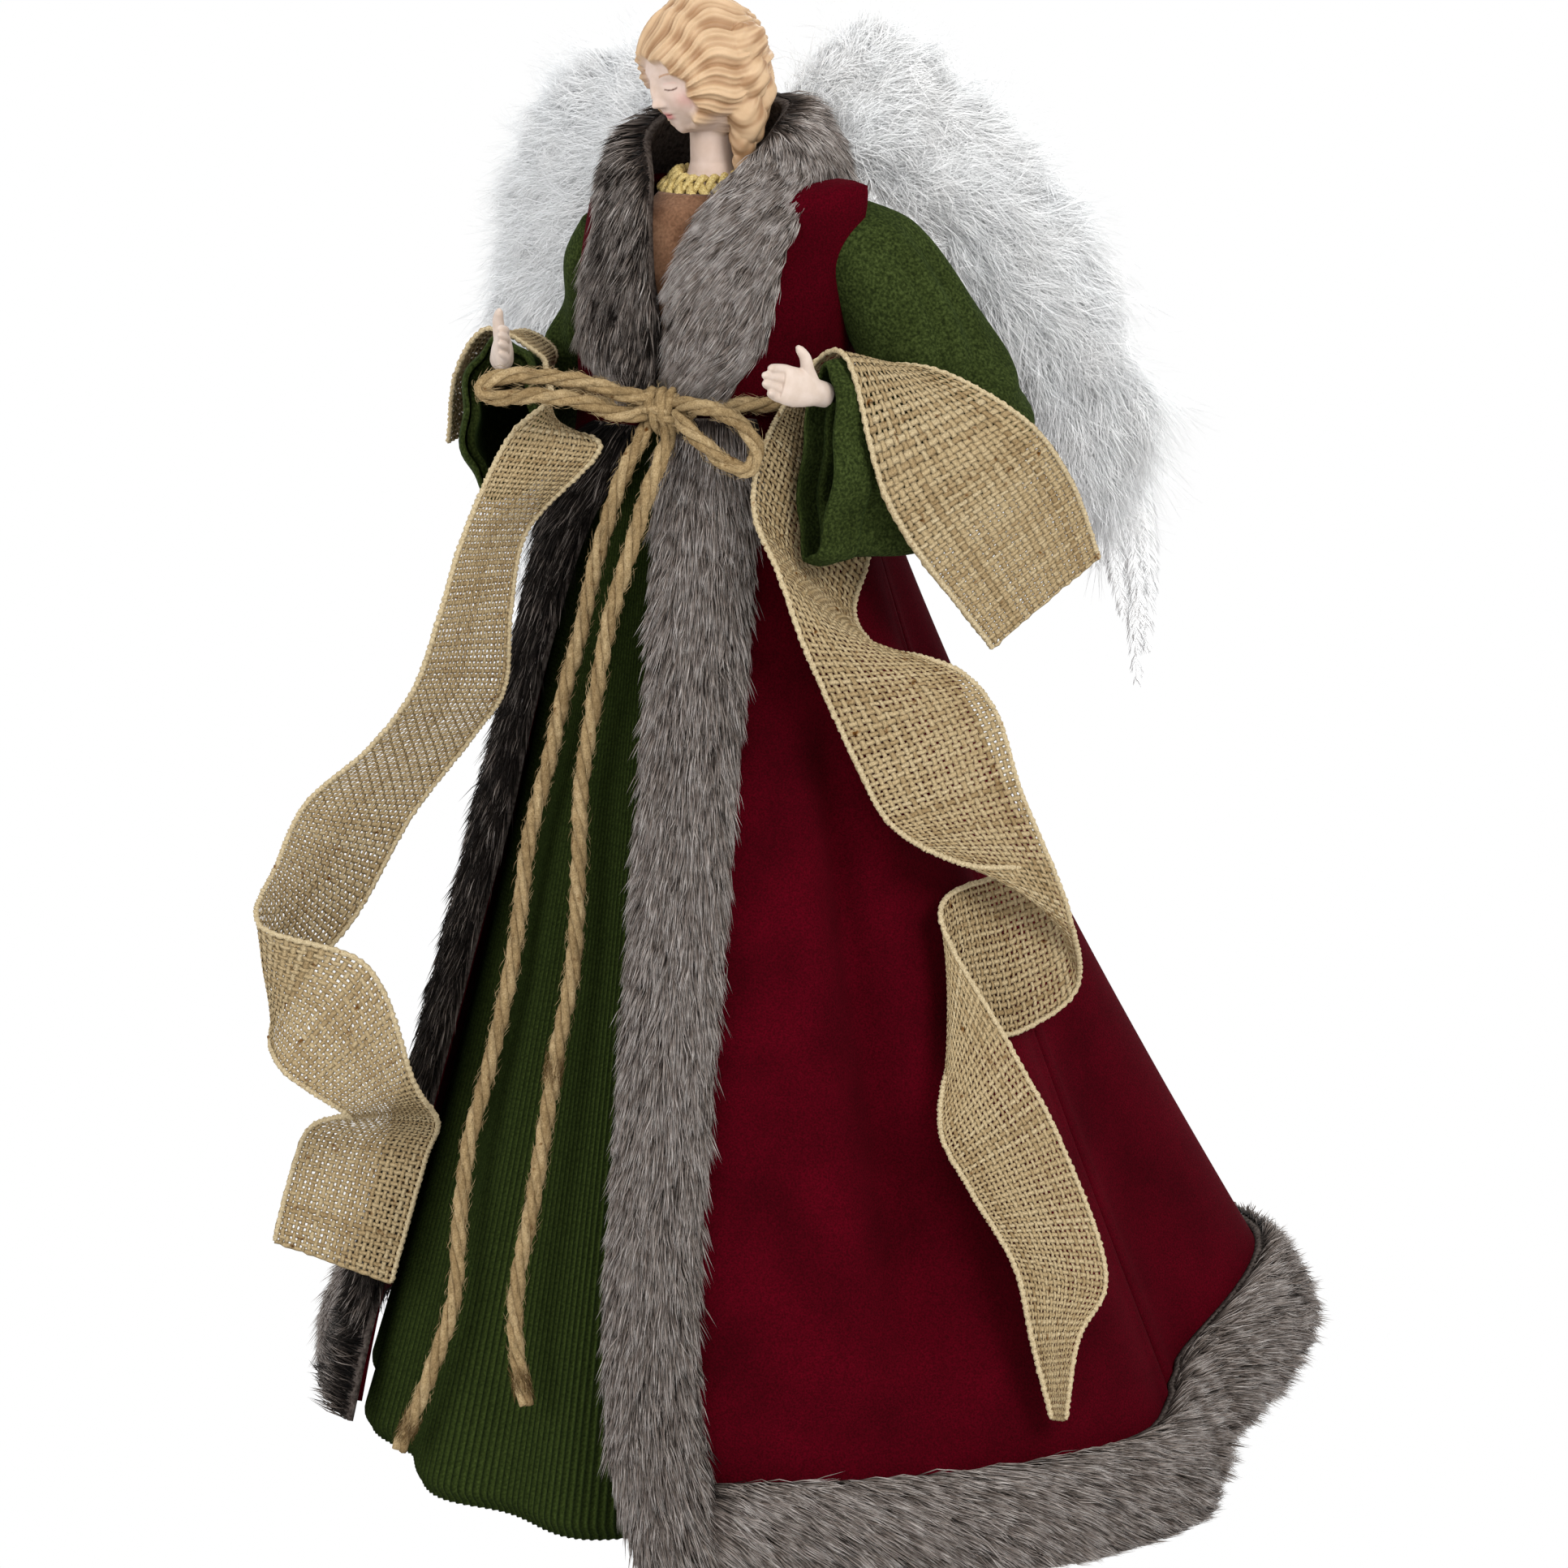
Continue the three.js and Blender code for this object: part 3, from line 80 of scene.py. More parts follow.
# Level and angle along the coat's front edges
LEFT_EDGE = [(-0.25, 38), (0, 30), (0.5, 14), (1, 5), (1.8, 6), (1.9, 8), (2, 14)]
RIGHT_EDGE = [
    (-0.25, -56), (0, -47), (0.5, -27), (1, -8), (1.12, -40), (1.35, -52), (1.85, -57), (2, -50),
]
SIDE_SEAM = 88.0
SEAM_GAP = 0.2
ARMHOLE_LEVEL = 0.75
LEFT_ARMHOLE_FRONT = 3.0
LEFT_ARMHOLE_BACK = 22.0
RIGHT_ARMHOLE_FRONT = 12.0
RIGHT_ARMHOLE_BACK = 20.0
CAP_ANGLE = 84.0
CAP_SPREAD = 26.0
CAP_OUT = 4.5
CAP_UP = 6.0
FELT_HEM_LEVEL = 1.985
# Level, angle and width of the pelt along both front edges
LEFT_FUR = [
    (1.012, 20.5, 24), (1.2, 17.2, 23), (1.4, 14.6, 22), (1.7, 12.4, 21.5), (1.84, 12.8, 22),
    (1.93, 15.5, 24), (2, 20, 27),
]
RIGHT_FUR = [
    (1.02, -18, 17), (1.05, -27, 22), (1.08, -37, 26), (1.12, -46, 28), (1.2, -52, 27), (1.3, -55, 25),
    (1.4, -58.5, 34), (1.5, -58.5, 27), (1.75, -59, 24), (1.9, -60, 30), (2, -59, 40),
]
HEM_TOP_LEVEL = 1.89


# Numbers and curves
def mix(a, b, share):
    return a + (b - a) * share


def smoothstep(value, low, high):
    share = np.clip((value - low) / (high - low), 0, 1)
    return share * share * (3 - 2 * share)


def unit(vectors):
    return vectors / np.maximum(np.linalg.norm(vectors, axis=-1, keepdims=True), 1e-9)


def around(radius, degrees, height):
    radius, degrees, height = np.broadcast_arrays(radius, degrees, height)
    angle = np.radians(degrees)
    return np.stack([radius * np.sin(angle), -radius * np.cos(angle), height], -1)


def bell(value, centre, spread):
    """1 at the centre, falling smoothly to 0 a few spreads away."""
    return np.exp(-(((value - centre) / spread) ** 2))


def full_turn(count):
    """Evenly spaced angles, in radians."""
    return np.linspace(0, 2 * math.pi, count, endpoint=False)


def spokes(angle, side, up):
    """Directions at angles from a side towards up."""
    return np.cos(angle)[..., None] * side + np.sin(angle)[..., None] * up


def along(knots, place, column=1):
    """The smooth value at a place along a short list of knots."""
    table = np.asarray(knots, float)
    at, value = table[:, 0], table[:, column]
    count = len(at)
    low = np.maximum(np.arange(count) - 1, 0)
    high = np.minimum(np.arange(count) + 1, count - 1)
    slope = (value[high] - value[low]) / (at[high] - at[low])
    held = np.clip(place, at[0], at[-1])
    i = np.clip(np.searchsorted(at, held) - 1, 0, count - 2)
    span = at[i + 1] - at[i]
    t = (held - at[i]) / span
    rise = mix(value[i], value[i + 1], t * t * (3 - 2 * t))
    return rise + span * (t * (1 - t) ** 2 * slope[i] + t * t * (t - 1) * slope[i + 1])


def curve(points, places):
    """Points on the smooth curve through points, at places counted from 0 at the first point."""
    knots = np.asarray(points, float)
    ends = np.vstack([2 * knots[0] - knots[1], knots, 2 * knots[-1] - knots[-2]])
    i = np.clip(np.floor(places).astype(int), 0, len(knots) - 2)
    t = (places - i)[:, None]
    p0, p1, p2, p3 = (ends[i + k] for k in range(4))
    spans = ((p0, p1), (p1, p2), (p2, p3))
    d0, d1, d2 = (np.sqrt(np.linalg.norm(b - a, axis=1, keepdims=True)) for a, b in spans)
    start = ((p1 - p0) / d0 - (p2 - p0) / (d0 + d1) + (p2 - p1) / d1) * d1
    end = ((p2 - p1) / d1 - (p3 - p1) / (d1 + d2) + (p3 - p2) / d2) * d1
    bend = p1 * (2 * t**3 - 3 * t**2 + 1) + p2 * (3 * t**2 - 2 * t**3)
    return bend + start * (t**3 - 2 * t**2 + t) + end * (t**3 - t**2)


def run_length(points):
    return np.concatenate([[0], np.cumsum(np.linalg.norm(np.diff(points, axis=0), axis=1))])


def even_places(points, step):
    """Places along a curve that are about a step apart."""
    fine = np.linspace(0, len(points) - 1, 40 * len(points))
    length = run_length(curve(points, fine))
    count = max(2, round(length[-1] / step))
    return np.interp(np.linspace(0, length[-1], count + 1), length, fine)


def frames(path):
    """Travel, side and up along a path, turning as little as they can."""
    travel = unit(np.gradient(path, axis=0))
    side = np.zeros_like(path)
    first = np.cross(travel[0], (0.0, 0.0, 1.0))
    side[0] = unit(first if np.linalg.norm(first) > 0.1 else np.cross(travel[0], (0.0, 1.0, 0.0)))
    for i in range(1, len(path)):
        side[i] = unit(side[i - 1] - travel[i] * np.dot(side[i - 1], travel[i]))
    return travel, side, np.cross(side, travel)


# Meshes
def grid_faces(rows, columns, ring=False, start=0):
    wide = columns if ring else columns + 1
    j, i = np.meshgrid(np.arange(rows), np.arange(columns), indexing="ij")
    beside = (i + 1) % wide
    quads = np.stack([j * wide + i, j * wide + beside, (j + 1) * wide + beside, (j + 1) * wide + i], -1)
    return quads.reshape(-1, 4) + start


def slab(face, back, ring=False):
    """Points and faces of a closed sheet between two grids of points."""
    rows, wide = face.shape[0] - 1, face.shape[1]
    columns = wide if ring else wide - 1
    half = face.shape[0] * wide
    points = np.concatenate([face.reshape(-1, 3), back.reshape(-1, 3)])
    faces = [grid_faces(rows, columns, ring), grid_faces(rows, columns, ring, half)[:, ::-1]]

    def rim(a, b):
        faces.append(np.stack([a, b, b + half, a + half], -1))

    i = np.arange(columns)
    beside = (i + 1) % wide
    rim(beside, i)
    rim(rows * wide + i, rows * wide + beside)
    if not ring:
        j = np.arange(rows)
        rim(j * wide, (j + 1) * wide)
        rim((j + 1) * wide + columns, j * wide + columns)
    return points, facing_out(points, faces)


def facing_out(points, faces):
    volume = 0.0
    for quads in faces:
        a, b, c = (points[quads[:, k]] for k in range(3))
        volume += (a * np.cross(b, c)).sum()
        if quads.shape[1] == 4:
            d = points[quads[:, 3]]
            volume += (a * np.cross(c, d)).sum()
    return [quads[:, ::-1] for quads in faces] if volume < 0 else faces


def gathered(parts):
    """Points and faces of several parts as one."""
    points, faces, start = [], [], 0
    for some, quads in parts:
        points.append(some)
        faces.extend(group + start for group in quads)
        start += len(some)
    return np.concatenate(points), faces


def mesh_object(name, points, faces, material, paint=()):
    """A smooth mesh object; paint gives named values or vectors for its points."""
    mesh = bpy.data.meshes.new(name)
    corners = np.concatenate([group.ravel() for group in faces]).astype(np.int32)
    sizes = np.concatenate([np.full(len(group), group.shape[1]) for group in faces])
    mesh.vertices.add(len(points))
    mesh.vertices.foreach_set("co", (points * MM).astype(np.float32).ravel())
    mesh.loops.add(len(corners))
    mesh.loops.foreach_set("vertex_index", corners)
    mesh.polygons.add(len(sizes))
    mesh.polygons.foreach_set("loop_start", (np.cumsum(sizes) - sizes).astype(np.int32))
    mesh.update(calc_edges=True)
    mesh.shade_smooth()
    for label, values in dict(paint).items():
        kind, key = ("FLOAT", "value") if values.ndim == 1 else ("FLOAT_VECTOR", "vector")
        layer = mesh.attributes.new(label, kind, "POINT")
        layer.data.foreach_set(key, values.astype(np.float32).ravel())
    mesh.materials.append(material)
    made = bpy.data.objects.new(name, mesh)
    bpy.context.scene.collection.objects.link(made)
    return made


def dressed(made, body, slot, *nodes):
    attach(made, body)
    if nodes:
        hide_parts(*nodes)
    return made


def grid_cut(grid):
    """The flat size and area of a cloth from the grid of its outer face, in metres."""
    width = np.linalg.norm(np.diff(grid, axis=1), axis=2).sum(1).max()
    length = np.linalg.norm(np.diff(grid, axis=0), axis=2).sum(0).max()
    a, b, c, d = grid[:-1, :-1], grid[:-1, 1:], grid[1:, 1:], grid[1:, :-1]
    halves = (np.cross(b - a, c - a), np.cross(c - a, d - a))
    area = sum(np.linalg.norm(half, axis=2) for half in halves).sum() / 2
    return (width * MM, length * MM), area * MM * MM


def declared_sheet(grid):
    flat, area = grid_cut(grid)


def tube(path, radii, sides):
    """A closed round tube along a path, with a radius for each point."""
    _, side, up = frames(path)
    spoke = spokes(full_turn(sides)[None, :], side[:, None], up[:, None])
    return lofted(path[:, None] + np.broadcast_to(radii, len(path))[:, None, None] * spoke)


def lofted(rings):
    """A closed solid through rings of points."""
    count, sides = rings.shape[:2]
    points = np.concatenate([rings.reshape(-1, 3), rings[0].mean(0)[None], rings[-1].mean(0)[None]])
    i = np.arange(sides)
    beside = (i + 1) % sides
    last = (count - 1) * sides
    caps = [
        np.stack([beside, i, np.full(sides, count * sides)], -1),
        np.stack([last + i, last + beside, np.full(sides, count * sides + 1)], -1),
    ]
    return points, facing_out(points, [grid_faces(count - 1, sides, ring=True), *caps])


SPIKE_MIDDLE = 0.55
SPIKE_TAPER = 0.85
SPIKE_POINTS = 7


def spikes(root, middle, tip, radius):
    """Fine three-sided hairs: points, faces and how far along its hair each point is."""
    run = unit(tip - root)
    side = unit(np.cross(run, rng.normal(size=run.shape)))
    up = np.cross(run, side)
    spoke = spokes(np.radians([[0, 120, 240]]), side[:, None], up[:, None])
    spoke = spoke * np.broadcast_to(radius, len(root))[:, None, None]
    rings = [root[:, None] + spoke, middle[:, None] + SPIKE_TAPER * spoke, tip[:, None]]
    points = np.concatenate(rings, 1)
    start = SPIKE_POINTS * np.arange(len(root))[:, None, None]
    quads = start + np.array([[0, 1, 4, 3], [1, 2, 5, 4], [2, 0, 3, 5]])
    ends = start + np.array([[3, 4, 6], [4, 5, 6], [5, 3, 6]])
    share = np.tile([0, 0, 0, SPIKE_MIDDLE, SPIKE_MIDDLE, SPIKE_MIDDLE, 1], len(root))
    return points.reshape(-1, 3), [quads.reshape(-1, 4), ends.reshape(-1, 3)], share


def fused(name, parts, voxel, material, smoothing=2):
    """One skin round several solids that run into each other."""
    points, faces = gathered(parts)
    rough = mesh_object(name + "_rough", points, faces, material)
    remesh = rough.modifiers.new("skin", "REMESH")
    remesh.mode = "VOXEL"
    remesh.voxel_size = voxel * MM
    smooth = rough.modifiers.new("ease", "SMOOTH")
    smooth.factor = 0.5
    smooth.iterations = smoothing
    graph = bpy.context.evaluated_depsgraph_get()
    mesh = bpy.data.meshes.new_from_object(rough.evaluated_get(graph))
    bpy.data.objects.remove(rough)
    mesh.name = name
    mesh.shade_smooth()
    mesh.materials.clear()
    mesh.materials.append(material)
    made = bpy.data.objects.new(name, mesh)
    bpy.context.scene.collection.objects.link(made)
    return made


def points_of(made):
    places = np.zeros(3 * len(made.data.vertices), np.float32)
    made.data.vertices.foreach_get("co", places)
    return places.reshape(-1, 3).astype(float) / MM


def set_colour(made, label, colours):
    layer = made.data.attributes.new(label, "FLOAT_COLOR", "POINT")
    opaque = np.concatenate([colours, np.ones((len(colours), 1))], 1)
    layer.data.foreach_set("color", opaque.astype(np.float32).ravel())


# Materials
def linear(red, green, blue):
    """A colour as written on a screen, from 0 to 255, as linear light."""
    share = np.array([red, green, blue]) / 255
    return np.where(share <= 0.04045, share / 12.92, ((share + 0.055) / 1.055) ** 2.4)


def shade(red, green, blue):
    return (*linear(red, green, blue), 1.0)


WHITE = shade(255, 255, 255)


class Finish:
    """A material with a few short ways to add its nodes."""

    def __init__(self, name, roughness, sheen=0.0, tint=WHITE, metallic=0.0, gloss=0.04):
        self.material = bpy.data.materials.new(name)
        self.material.use_nodes = True
        self.tree = self.material.node_tree
        self.shader = self.tree.nodes["Principled BSDF"]
        self.shader.inputs["Roughness"].default_value = roughness
        self.shader.inputs["Sheen Weight"].default_value = sheen
        self.shader.inputs["Sheen Tint"].default_value = tint
        self.shader.inputs["Metallic"].default_value = metallic
        self.shader.inputs["Specular IOR Level"].default_value = gloss
        self.place = self.add("ShaderNodeTexCoord").outputs["Object"]

    def add(self, kind, **settings):
        node = self.tree.nodes.new(kind)
        for key, value in settings.items():
            setattr(node, key, value)
        return node

    def join(self, output, node, socket):
        self.tree.links.new(output, node.inputs[socket])

    def noise(self, size, detail):
        """Noise whose spots are about that many millimetres wide."""
        node = self.add("ShaderNodeTexNoise")
        node.inputs["Scale"].default_value = 1 / (size * MM)
        node.inputs["Detail"].default_value = detail
        self.join(self.place, node, "Vector")
        return node.outputs["Fac"]

    def attribute(self, label, output="Fac"):
        return self.add("ShaderNodeAttribute", attribute_name=label).outputs[output]

    def ramp(self, value, *stops):
        node = self.add("ShaderNodeValToRGB")
        ramp = node.color_ramp
        while len(ramp.elements) < len(stops):
            ramp.elements.new(0.5)
        for element, (position, colour) in zip(ramp.elements, stops):
            element.position = position
            element.color = colour
        self.join(value, node, "Fac")
        return node.outputs["Color"]

    def maths(self, kind, first, second=0.5):
        node = self.add("ShaderNodeMath", operation=kind)
        for k, value in enumerate((first, second)):
            if isinstance(value, (int, float)):
                node.inputs[k].default_value = value
            else:
                self.join(value, node, k)
        return node.outputs[0]

    def times(self, first, second, share=1.0):
        """The first colour multiplied by a share of the second."""
        node = self.add("ShaderNodeMix", data_type="RGBA", blend_type="MULTIPLY")
        node.inputs[0].default_value = share
        self.join(first, node, 6)
        self.join(second, node, 7)
        return node.outputs[2]

    def colour(self, output):
        self.join(output, self.shader, "Base Color")

    def bump(self, height, depth, strength):
        node = self.add("ShaderNodeBump")
        node.inputs["Distance"].default_value = depth * MM
        node.inputs["Strength"].default_value = strength
        self.join(height, node, "Height")
        self.join(node.outputs["Normal"], self.shader, "Normal")


def felt_finish():
    finish = Finish("burgundy_felt", 1.0, sheen=0.06, tint=shade(170, 20, 50))
    fibre = finish.noise(0.5, 4)
    base = finish.ramp(finish.noise(22, 3), (0.3, shade(60, 0, 9)), (0.7, shade(78, 1, 15)))
    lint = finish.ramp(fibre, (0.35, shade(150, 140, 145)), (0.7, WHITE))
    finish.colour(finish.times(base, lint, 0.8))
    finish.bump(fibre, 0.35, 0.6)
    return finish.material


def knit_finish():
    """Ribs are in the mesh; the stitches in them lie along the cloth's own coordinates. The ramp from
    dark to pale across each rib is painted shade.
    """
    finish = Finish("green_rib_knit", 1.0, sheen=0.05, tint=shade(110, 150, 80))
    parts = finish.add("ShaderNodeSeparateXYZ")
    finish.join(finish.attribute("cloth", "Vector"), parts, "Vector")
    slant = finish.maths("PINGPONG", parts.outputs["X"], 0.5)
    row = finish.maths("ADD", parts.outputs["Y"], finish.maths("MULTIPLY", slant, 0.9))
    stitch = finish.maths("SINE", finish.maths("MULTIPLY", row, 2 * math.pi))
    fuzz = finish.noise(0.7, 4)
    height = finish.maths("ADD", finish.maths("MULTIPLY", stitch, 0.25), fuzz)
    # Painted shade: each rib of the one-colour knit runs from dark to pale across its width.
    rib = finish.ramp(slant, (0.05, shade(24, 32, 11)), (0.42, shade(58, 70, 31)))
    lint = finish.ramp(fuzz, (0.3, shade(120, 130, 110)), (0.7, shade(255, 255, 250)))
    finish.colour(finish.times(rib, lint, 0.7))
    finish.bump(height, 0.4, 0.7)
    return finish.material


def fleece_finish(name):
    finish = Finish(name, 1.0, sheen=0.06, tint=shade(130, 170, 100))
    grain = finish.noise(0.8, 3)
    stops = (0.34, shade(27, 34, 13)), (0.5, shade(42, 51, 22)), (0.68, shade(60, 70, 35))
    base = finish.ramp(grain, *stops)
    cloud = finish.ramp(finish.noise(16, 2), (0.3, shade(215, 215, 205)), (0.7, WHITE))
    finish.colour(finish.times(base, cloud))
    finish.bump(grain, 0.45, 0.7)
    return finish.material


def suede_finish():
    finish = Finish("brown_suede", 1.0, sheen=0.08)
    nap = finish.noise(0.8, 4)
    base = finish.ramp(finish.noise(9, 3), (0.3, shade(106, 74, 54)), (0.7, shade(140, 105, 81)))
    lint = finish.ramp(nap, (0.3, shade(150, 140, 130)), (0.7, WHITE))
    finish.colour(finish.times(base, lint, 0.6))
    finish.bump(nap, 0.3, 0.5)
    return finish.material


def fur_finish():
    """Hairs that are dark at the root and pale at the tip, with darker and lighter locks."""
    finish = Finish("grey_brown_fur", 0.75, gloss=0.12)
    stops = (0.12, shade(54, 46, 42)), (0.55, shade(146, 137, 131)), (0.95, shade(238, 232, 228))
    hair = finish.ramp(finish.attribute("along"), *stops)
    stops = (0.0, shade(42, 36, 32)), (0.65, shade(214, 208, 203)), (1.0, WHITE)
    tone = finish.ramp(finish.attribute("tone"), *stops)
    grain = finish.ramp(finish.noise(2.5, 2), (0.3, shade(205, 200, 198)), (0.7, WHITE))
    finish.colour(finish.times(finish.times(hair, tone), grain))
    return finish.material


def yarn_finish(name, dark, base, pale, flecks):
    """Plant fibre yarn: a tone for each yarn, fine fibres along it and darker flecks."""
    finish = Finish(name, 0.95)
    tone = finish.ramp(finish.attribute("tone"), (0.0, dark), (0.5, base), (1.0, pale))
    fibre = finish.noise(0.45, 4)
    speck = finish.ramp(finish.noise(3.0, 4), (0.26, flecks), (0.36, WHITE))
    strand = finish.ramp(fibre, (0.3, shade(195, 188, 178)), (0.7, WHITE))
    finish.colour(finish.times(finish.times(tone, strand), speck))
    finish.bump(fibre, 0.25, 0.7)
    return finish.material


def bisque_finish():
    finish = Finish("painted_bisque", 0.55, gloss=0.3)
    finish.shader.inputs["Subsurface Weight"].default_value = 0.08
    finish.shader.inputs["Subsurface Radius"].default_value = (0.003, 0.002, 0.0015)
    wash = finish.ramp(finish.noise(3.5, 3), (0.3, shade(240, 236, 230)), (0.7, WHITE))
    finish.colour(finish.times(finish.attribute("paint", "Color"), wash))
    finish.bump(finish.noise(0.5, 3), 0.04, 0.5)
    return finish.material


def gold_finish():
    finish = Finish("gold_braid", 0.5, gloss=0.5)
    fibre = finish.noise(0.4, 3)
    stops = (0.3, shade(136, 112, 58)), (0.5, shade(184, 161, 98)), (0.72, shade(208, 190, 132))
    finish.colour(finish.ramp(fibre, *stops))
    finish.bump(fibre, 0.25, 0.8)
    return finish.material


def clouded_finish(name, roughness, grain, dark, pale, bump=None, **more):
    """One colour clouded by noise of a size and detail, which may stand out as a bump."""
    finish = Finish(name, roughness, **more)
    cloud = finish.noise(*grain)
    finish.colour(finish.ramp(cloud, (0.3, dark), (0.7, pale)))
    if bump:
        finish.bump(cloud, *bump)
    return finish.material


def card_finish(name, dark, pale):
    return clouded_finish(name, 0.95, (0.9, 5), dark, pale, (0.15, 0.5))


FELT_CLOTH = felt_finish()
RIB_KNIT = knit_finish()
FLEECE_CLOTH = fleece_finish("green_fleece")
FINE_KNIT = fleece_finish("green_fine_knit")
SUEDE_CLOTH = suede_finish()
FUR_HAIR = fur_finish()
PELT = clouded_finish("fur_pelt", 1.0, (1.2, 4), shade(46, 39, 36), shade(92, 84, 79), (0.8, 0.8))
FEATHER = clouded_finish("white_feather", 0.9, (14, 3), shade(248, 249, 250), shade(254, 254, 254))
JUTE = yarn_finish(
    "jute_cord", shade(112, 90, 60), shade(158, 136, 100), shade(190, 169, 132), shade(150, 112, 70),
)
BURLAP = yarn_finish(
    "burlap_weave", shade(146, 123, 88), shade(180, 160, 124), shade(198, 182, 149), shade(160, 122, 78),
)
BISQUE = bisque_finish()
GOLD = gold_finish()
KRAFT_CARD = card_finish("kraft_card", shade(158, 130, 92), shade(190, 164, 124))
WHITE_CARD = card_finish("white_card", shade(214, 213, 210), shade(240, 239, 236))
STUFFING = card_finish("stuffed_calico", shade(205, 193, 172), shade(228, 219, 201))
WIRE = clouded_finish(
    "bright_wire", 0.35, (1.5, 3), shade(120, 120, 122), shade(176, 176, 180), metallic=1.0, gloss=0.5,
)


# Camera, floor and light
CAMERA_PLACE = (412.0, -1020.0, 469.0)
CAMERA_AZIMUTH = 22.0
AIM_HEIGHT = 190.6
AIM_ASIDE = 19.5
LENS = 90.4


def add_camera():
    camera = bpy.data.objects.new("camera", bpy.data.cameras.new("camera"))
    bpy.context.scene.collection.objects.link(camera)
    turn = math.radians(CAMERA_AZIMUTH)
    aim = Vector((AIM_ASIDE * math.cos(turn), AIM_ASIDE * math.sin(turn), AIM_HEIGHT))
    camera.location = Vector(CAMERA_PLACE) * MM
    camera.rotation_euler = (aim - Vector(CAMERA_PLACE)).to_track_quat("-Z", "Y").to_euler()
    camera.data.sensor_width = 36.0
    camera.data.lens = LENS
    camera.data.clip_end = 100
    bpy.context.scene.camera = camera


def add_lamp(name, place, aim, size, power, colour):
    lamp = bpy.data.lights.new(name, "AREA")
    lamp.shape = "DISK"
    lamp.size = size
    lamp.energy = power
    lamp.color = colour
    holder = bpy.data.objects.new(name, lamp)
    holder.location = place
    holder.rotation_euler = (Vector(aim) - Vector(place)).to_track_quat("-Z", "Y").to_euler()
    bpy.context.scene.collection.objects.link(holder)


def white_when_seen(tree, plain, kind):
    """A shader that is plain white to the camera and in mirrors; other light meets the plain one."""
    path = tree.nodes.new("ShaderNodeLightPath")
    white = tree.nodes.new(kind)
    white.inputs["Color"].default_value = (1, 1, 1, 1)
    white.inputs["Strength"].default_value = 1.0
    seen = path.outputs["Is Camera Ray"]
    for ray in ("Is Glossy Ray", "Is Transmission Ray"):
        either = tree.nodes.new("ShaderNodeMath")
        either.operation = "MAXIMUM"
        tree.links.new(seen, either.inputs[0])
        tree.links.new(path.outputs[ray], either.inputs[1])
        seen = either.outputs[0]
    mixed = tree.nodes.new("ShaderNodeMixShader")
    tree.links.new(seen, mixed.inputs[0])
    tree.links.new(plain, mixed.inputs[1])
    tree.links.new(white.outputs[0], mixed.inputs[2])
    return mixed.outputs[0]


WORLD_LIGHT = 0.85
LAMPS = [
    # name, place and aim in metres, width in metres, power in watts and colour
    ("key", (1.4, -0.9, 1.35), (0.0, 0.0, 0.2), 0.9, 27.0, (1.0, 0.985, 0.96)),
    ("fill", (-0.8, -1.4, 0.9), (0.0, 0.0, 0.22), 1.2, 12.0, (1.0, 1.0, 1.0)),
    ("rim", (-0.4, 1.3, 1.1), (0.0, 0.0, 0.3), 0.9, 9.0, (1.0, 1.0, 1.0)),
]
FLOOR_HALF = 6000.0
FLOOR_DROP = 0.3


def add_studio():
    scene = bpy.context.scene
    scene.view_settings.view_transform = "Standard"
    world = bpy.data.worlds.new("studio")
    world.use_nodes = True
    scene.world = world
    tree = world.node_tree
    tree.nodes.clear()
    soft = tree.nodes.new("ShaderNodeBackground")
    soft.inputs["Color"].default_value = (0.97, 0.985, 1.0, 1)
    soft.inputs["Strength"].default_value = WORLD_LIGHT
    end = tree.nodes.new("ShaderNodeOutputWorld")
    tree.links.new(white_when_seen(tree, soft.outputs[0], "ShaderNodeBackground"), end.inputs["Surface"])
    for lamp in LAMPS:
        add_lamp(*lamp)


def add_floor():
    corners = FLOOR_HALF * np.array([(-1, -1), (1, -1), (1, 1), (-1, 1)])
    points = np.column_stack([corners, np.full(4, -FLOOR_DROP)])
    material = bpy.data.materials.new("pale_floor")
    material.use_nodes = True
    tree = material.node_tree
    matt = tree.nodes["Principled BSDF"]
    matt.inputs["Base Color"].default_value = (0.8, 0.8, 0.8, 1)
    matt.inputs["Roughness"].default_value = 0.9
    shown = white_when_seen(tree, matt.outputs["BSDF"], "ShaderNodeEmission")
    tree.links.new(shown, tree.nodes["Material Output"].inputs["Surface"])
    mesh_object("floor", points, [np.array([[0, 1, 2, 3]])], material)


add_camera()
add_studio()
add_floor()


# The coat's surface
HEM_ROUND = [
    (degrees + turn, radius, height)
    for turn in (-TURN, 0, TURN)
    for degrees, radius, height in COAT_HEM
]
FELT_FOLD = 2.6
DEEP_FOLD = 9.0
DEEP_FOLD_ANGLE = 51.0
DEEP_FOLD_SPREAD = 5.5
WELT = 1.0
WELT_ASIDE = 2.0
WELT_SPREAD = 0.9


def shoulder_half_width(degrees):
    """The right shoulder is drawn in by its arm."""
    return np.where(np.sin(np.radians(degrees)) < 0, RIGHT_SHOULDER_HALF_WIDTH, SHOULDER_HALF_WIDTH)


def shoulder_cap(degrees, level):
    """1 where the felt stands over the head of the left sleeve, 0 away from it."""
    near = bell(degrees % TURN, CAP_ANGLE, CAP_SPREAD)
    return near * smoothstep(level, -0.24, -0.06) * (1 - smoothstep(level, 0.04, 0.34))


def oval(degrees, width, depth):
    angle = np.radians(degrees)
    return 1 / np.hypot(np.sin(angle) / width, np.cos(angle) / depth)


def chest_size(degrees, down):
    """Half width and half depth of the chest, with down from 0 at the shoulder to 1 at the waist."""
    swell = CHEST_SWELL * np.sin(np.pi * down)
    width = mix(shoulder_half_width(degrees), WAIST_RADIUS, down) + swell
    return width, mix(SHOULDER_HALF_DEPTH, WAIST_RADIUS, down) + swell


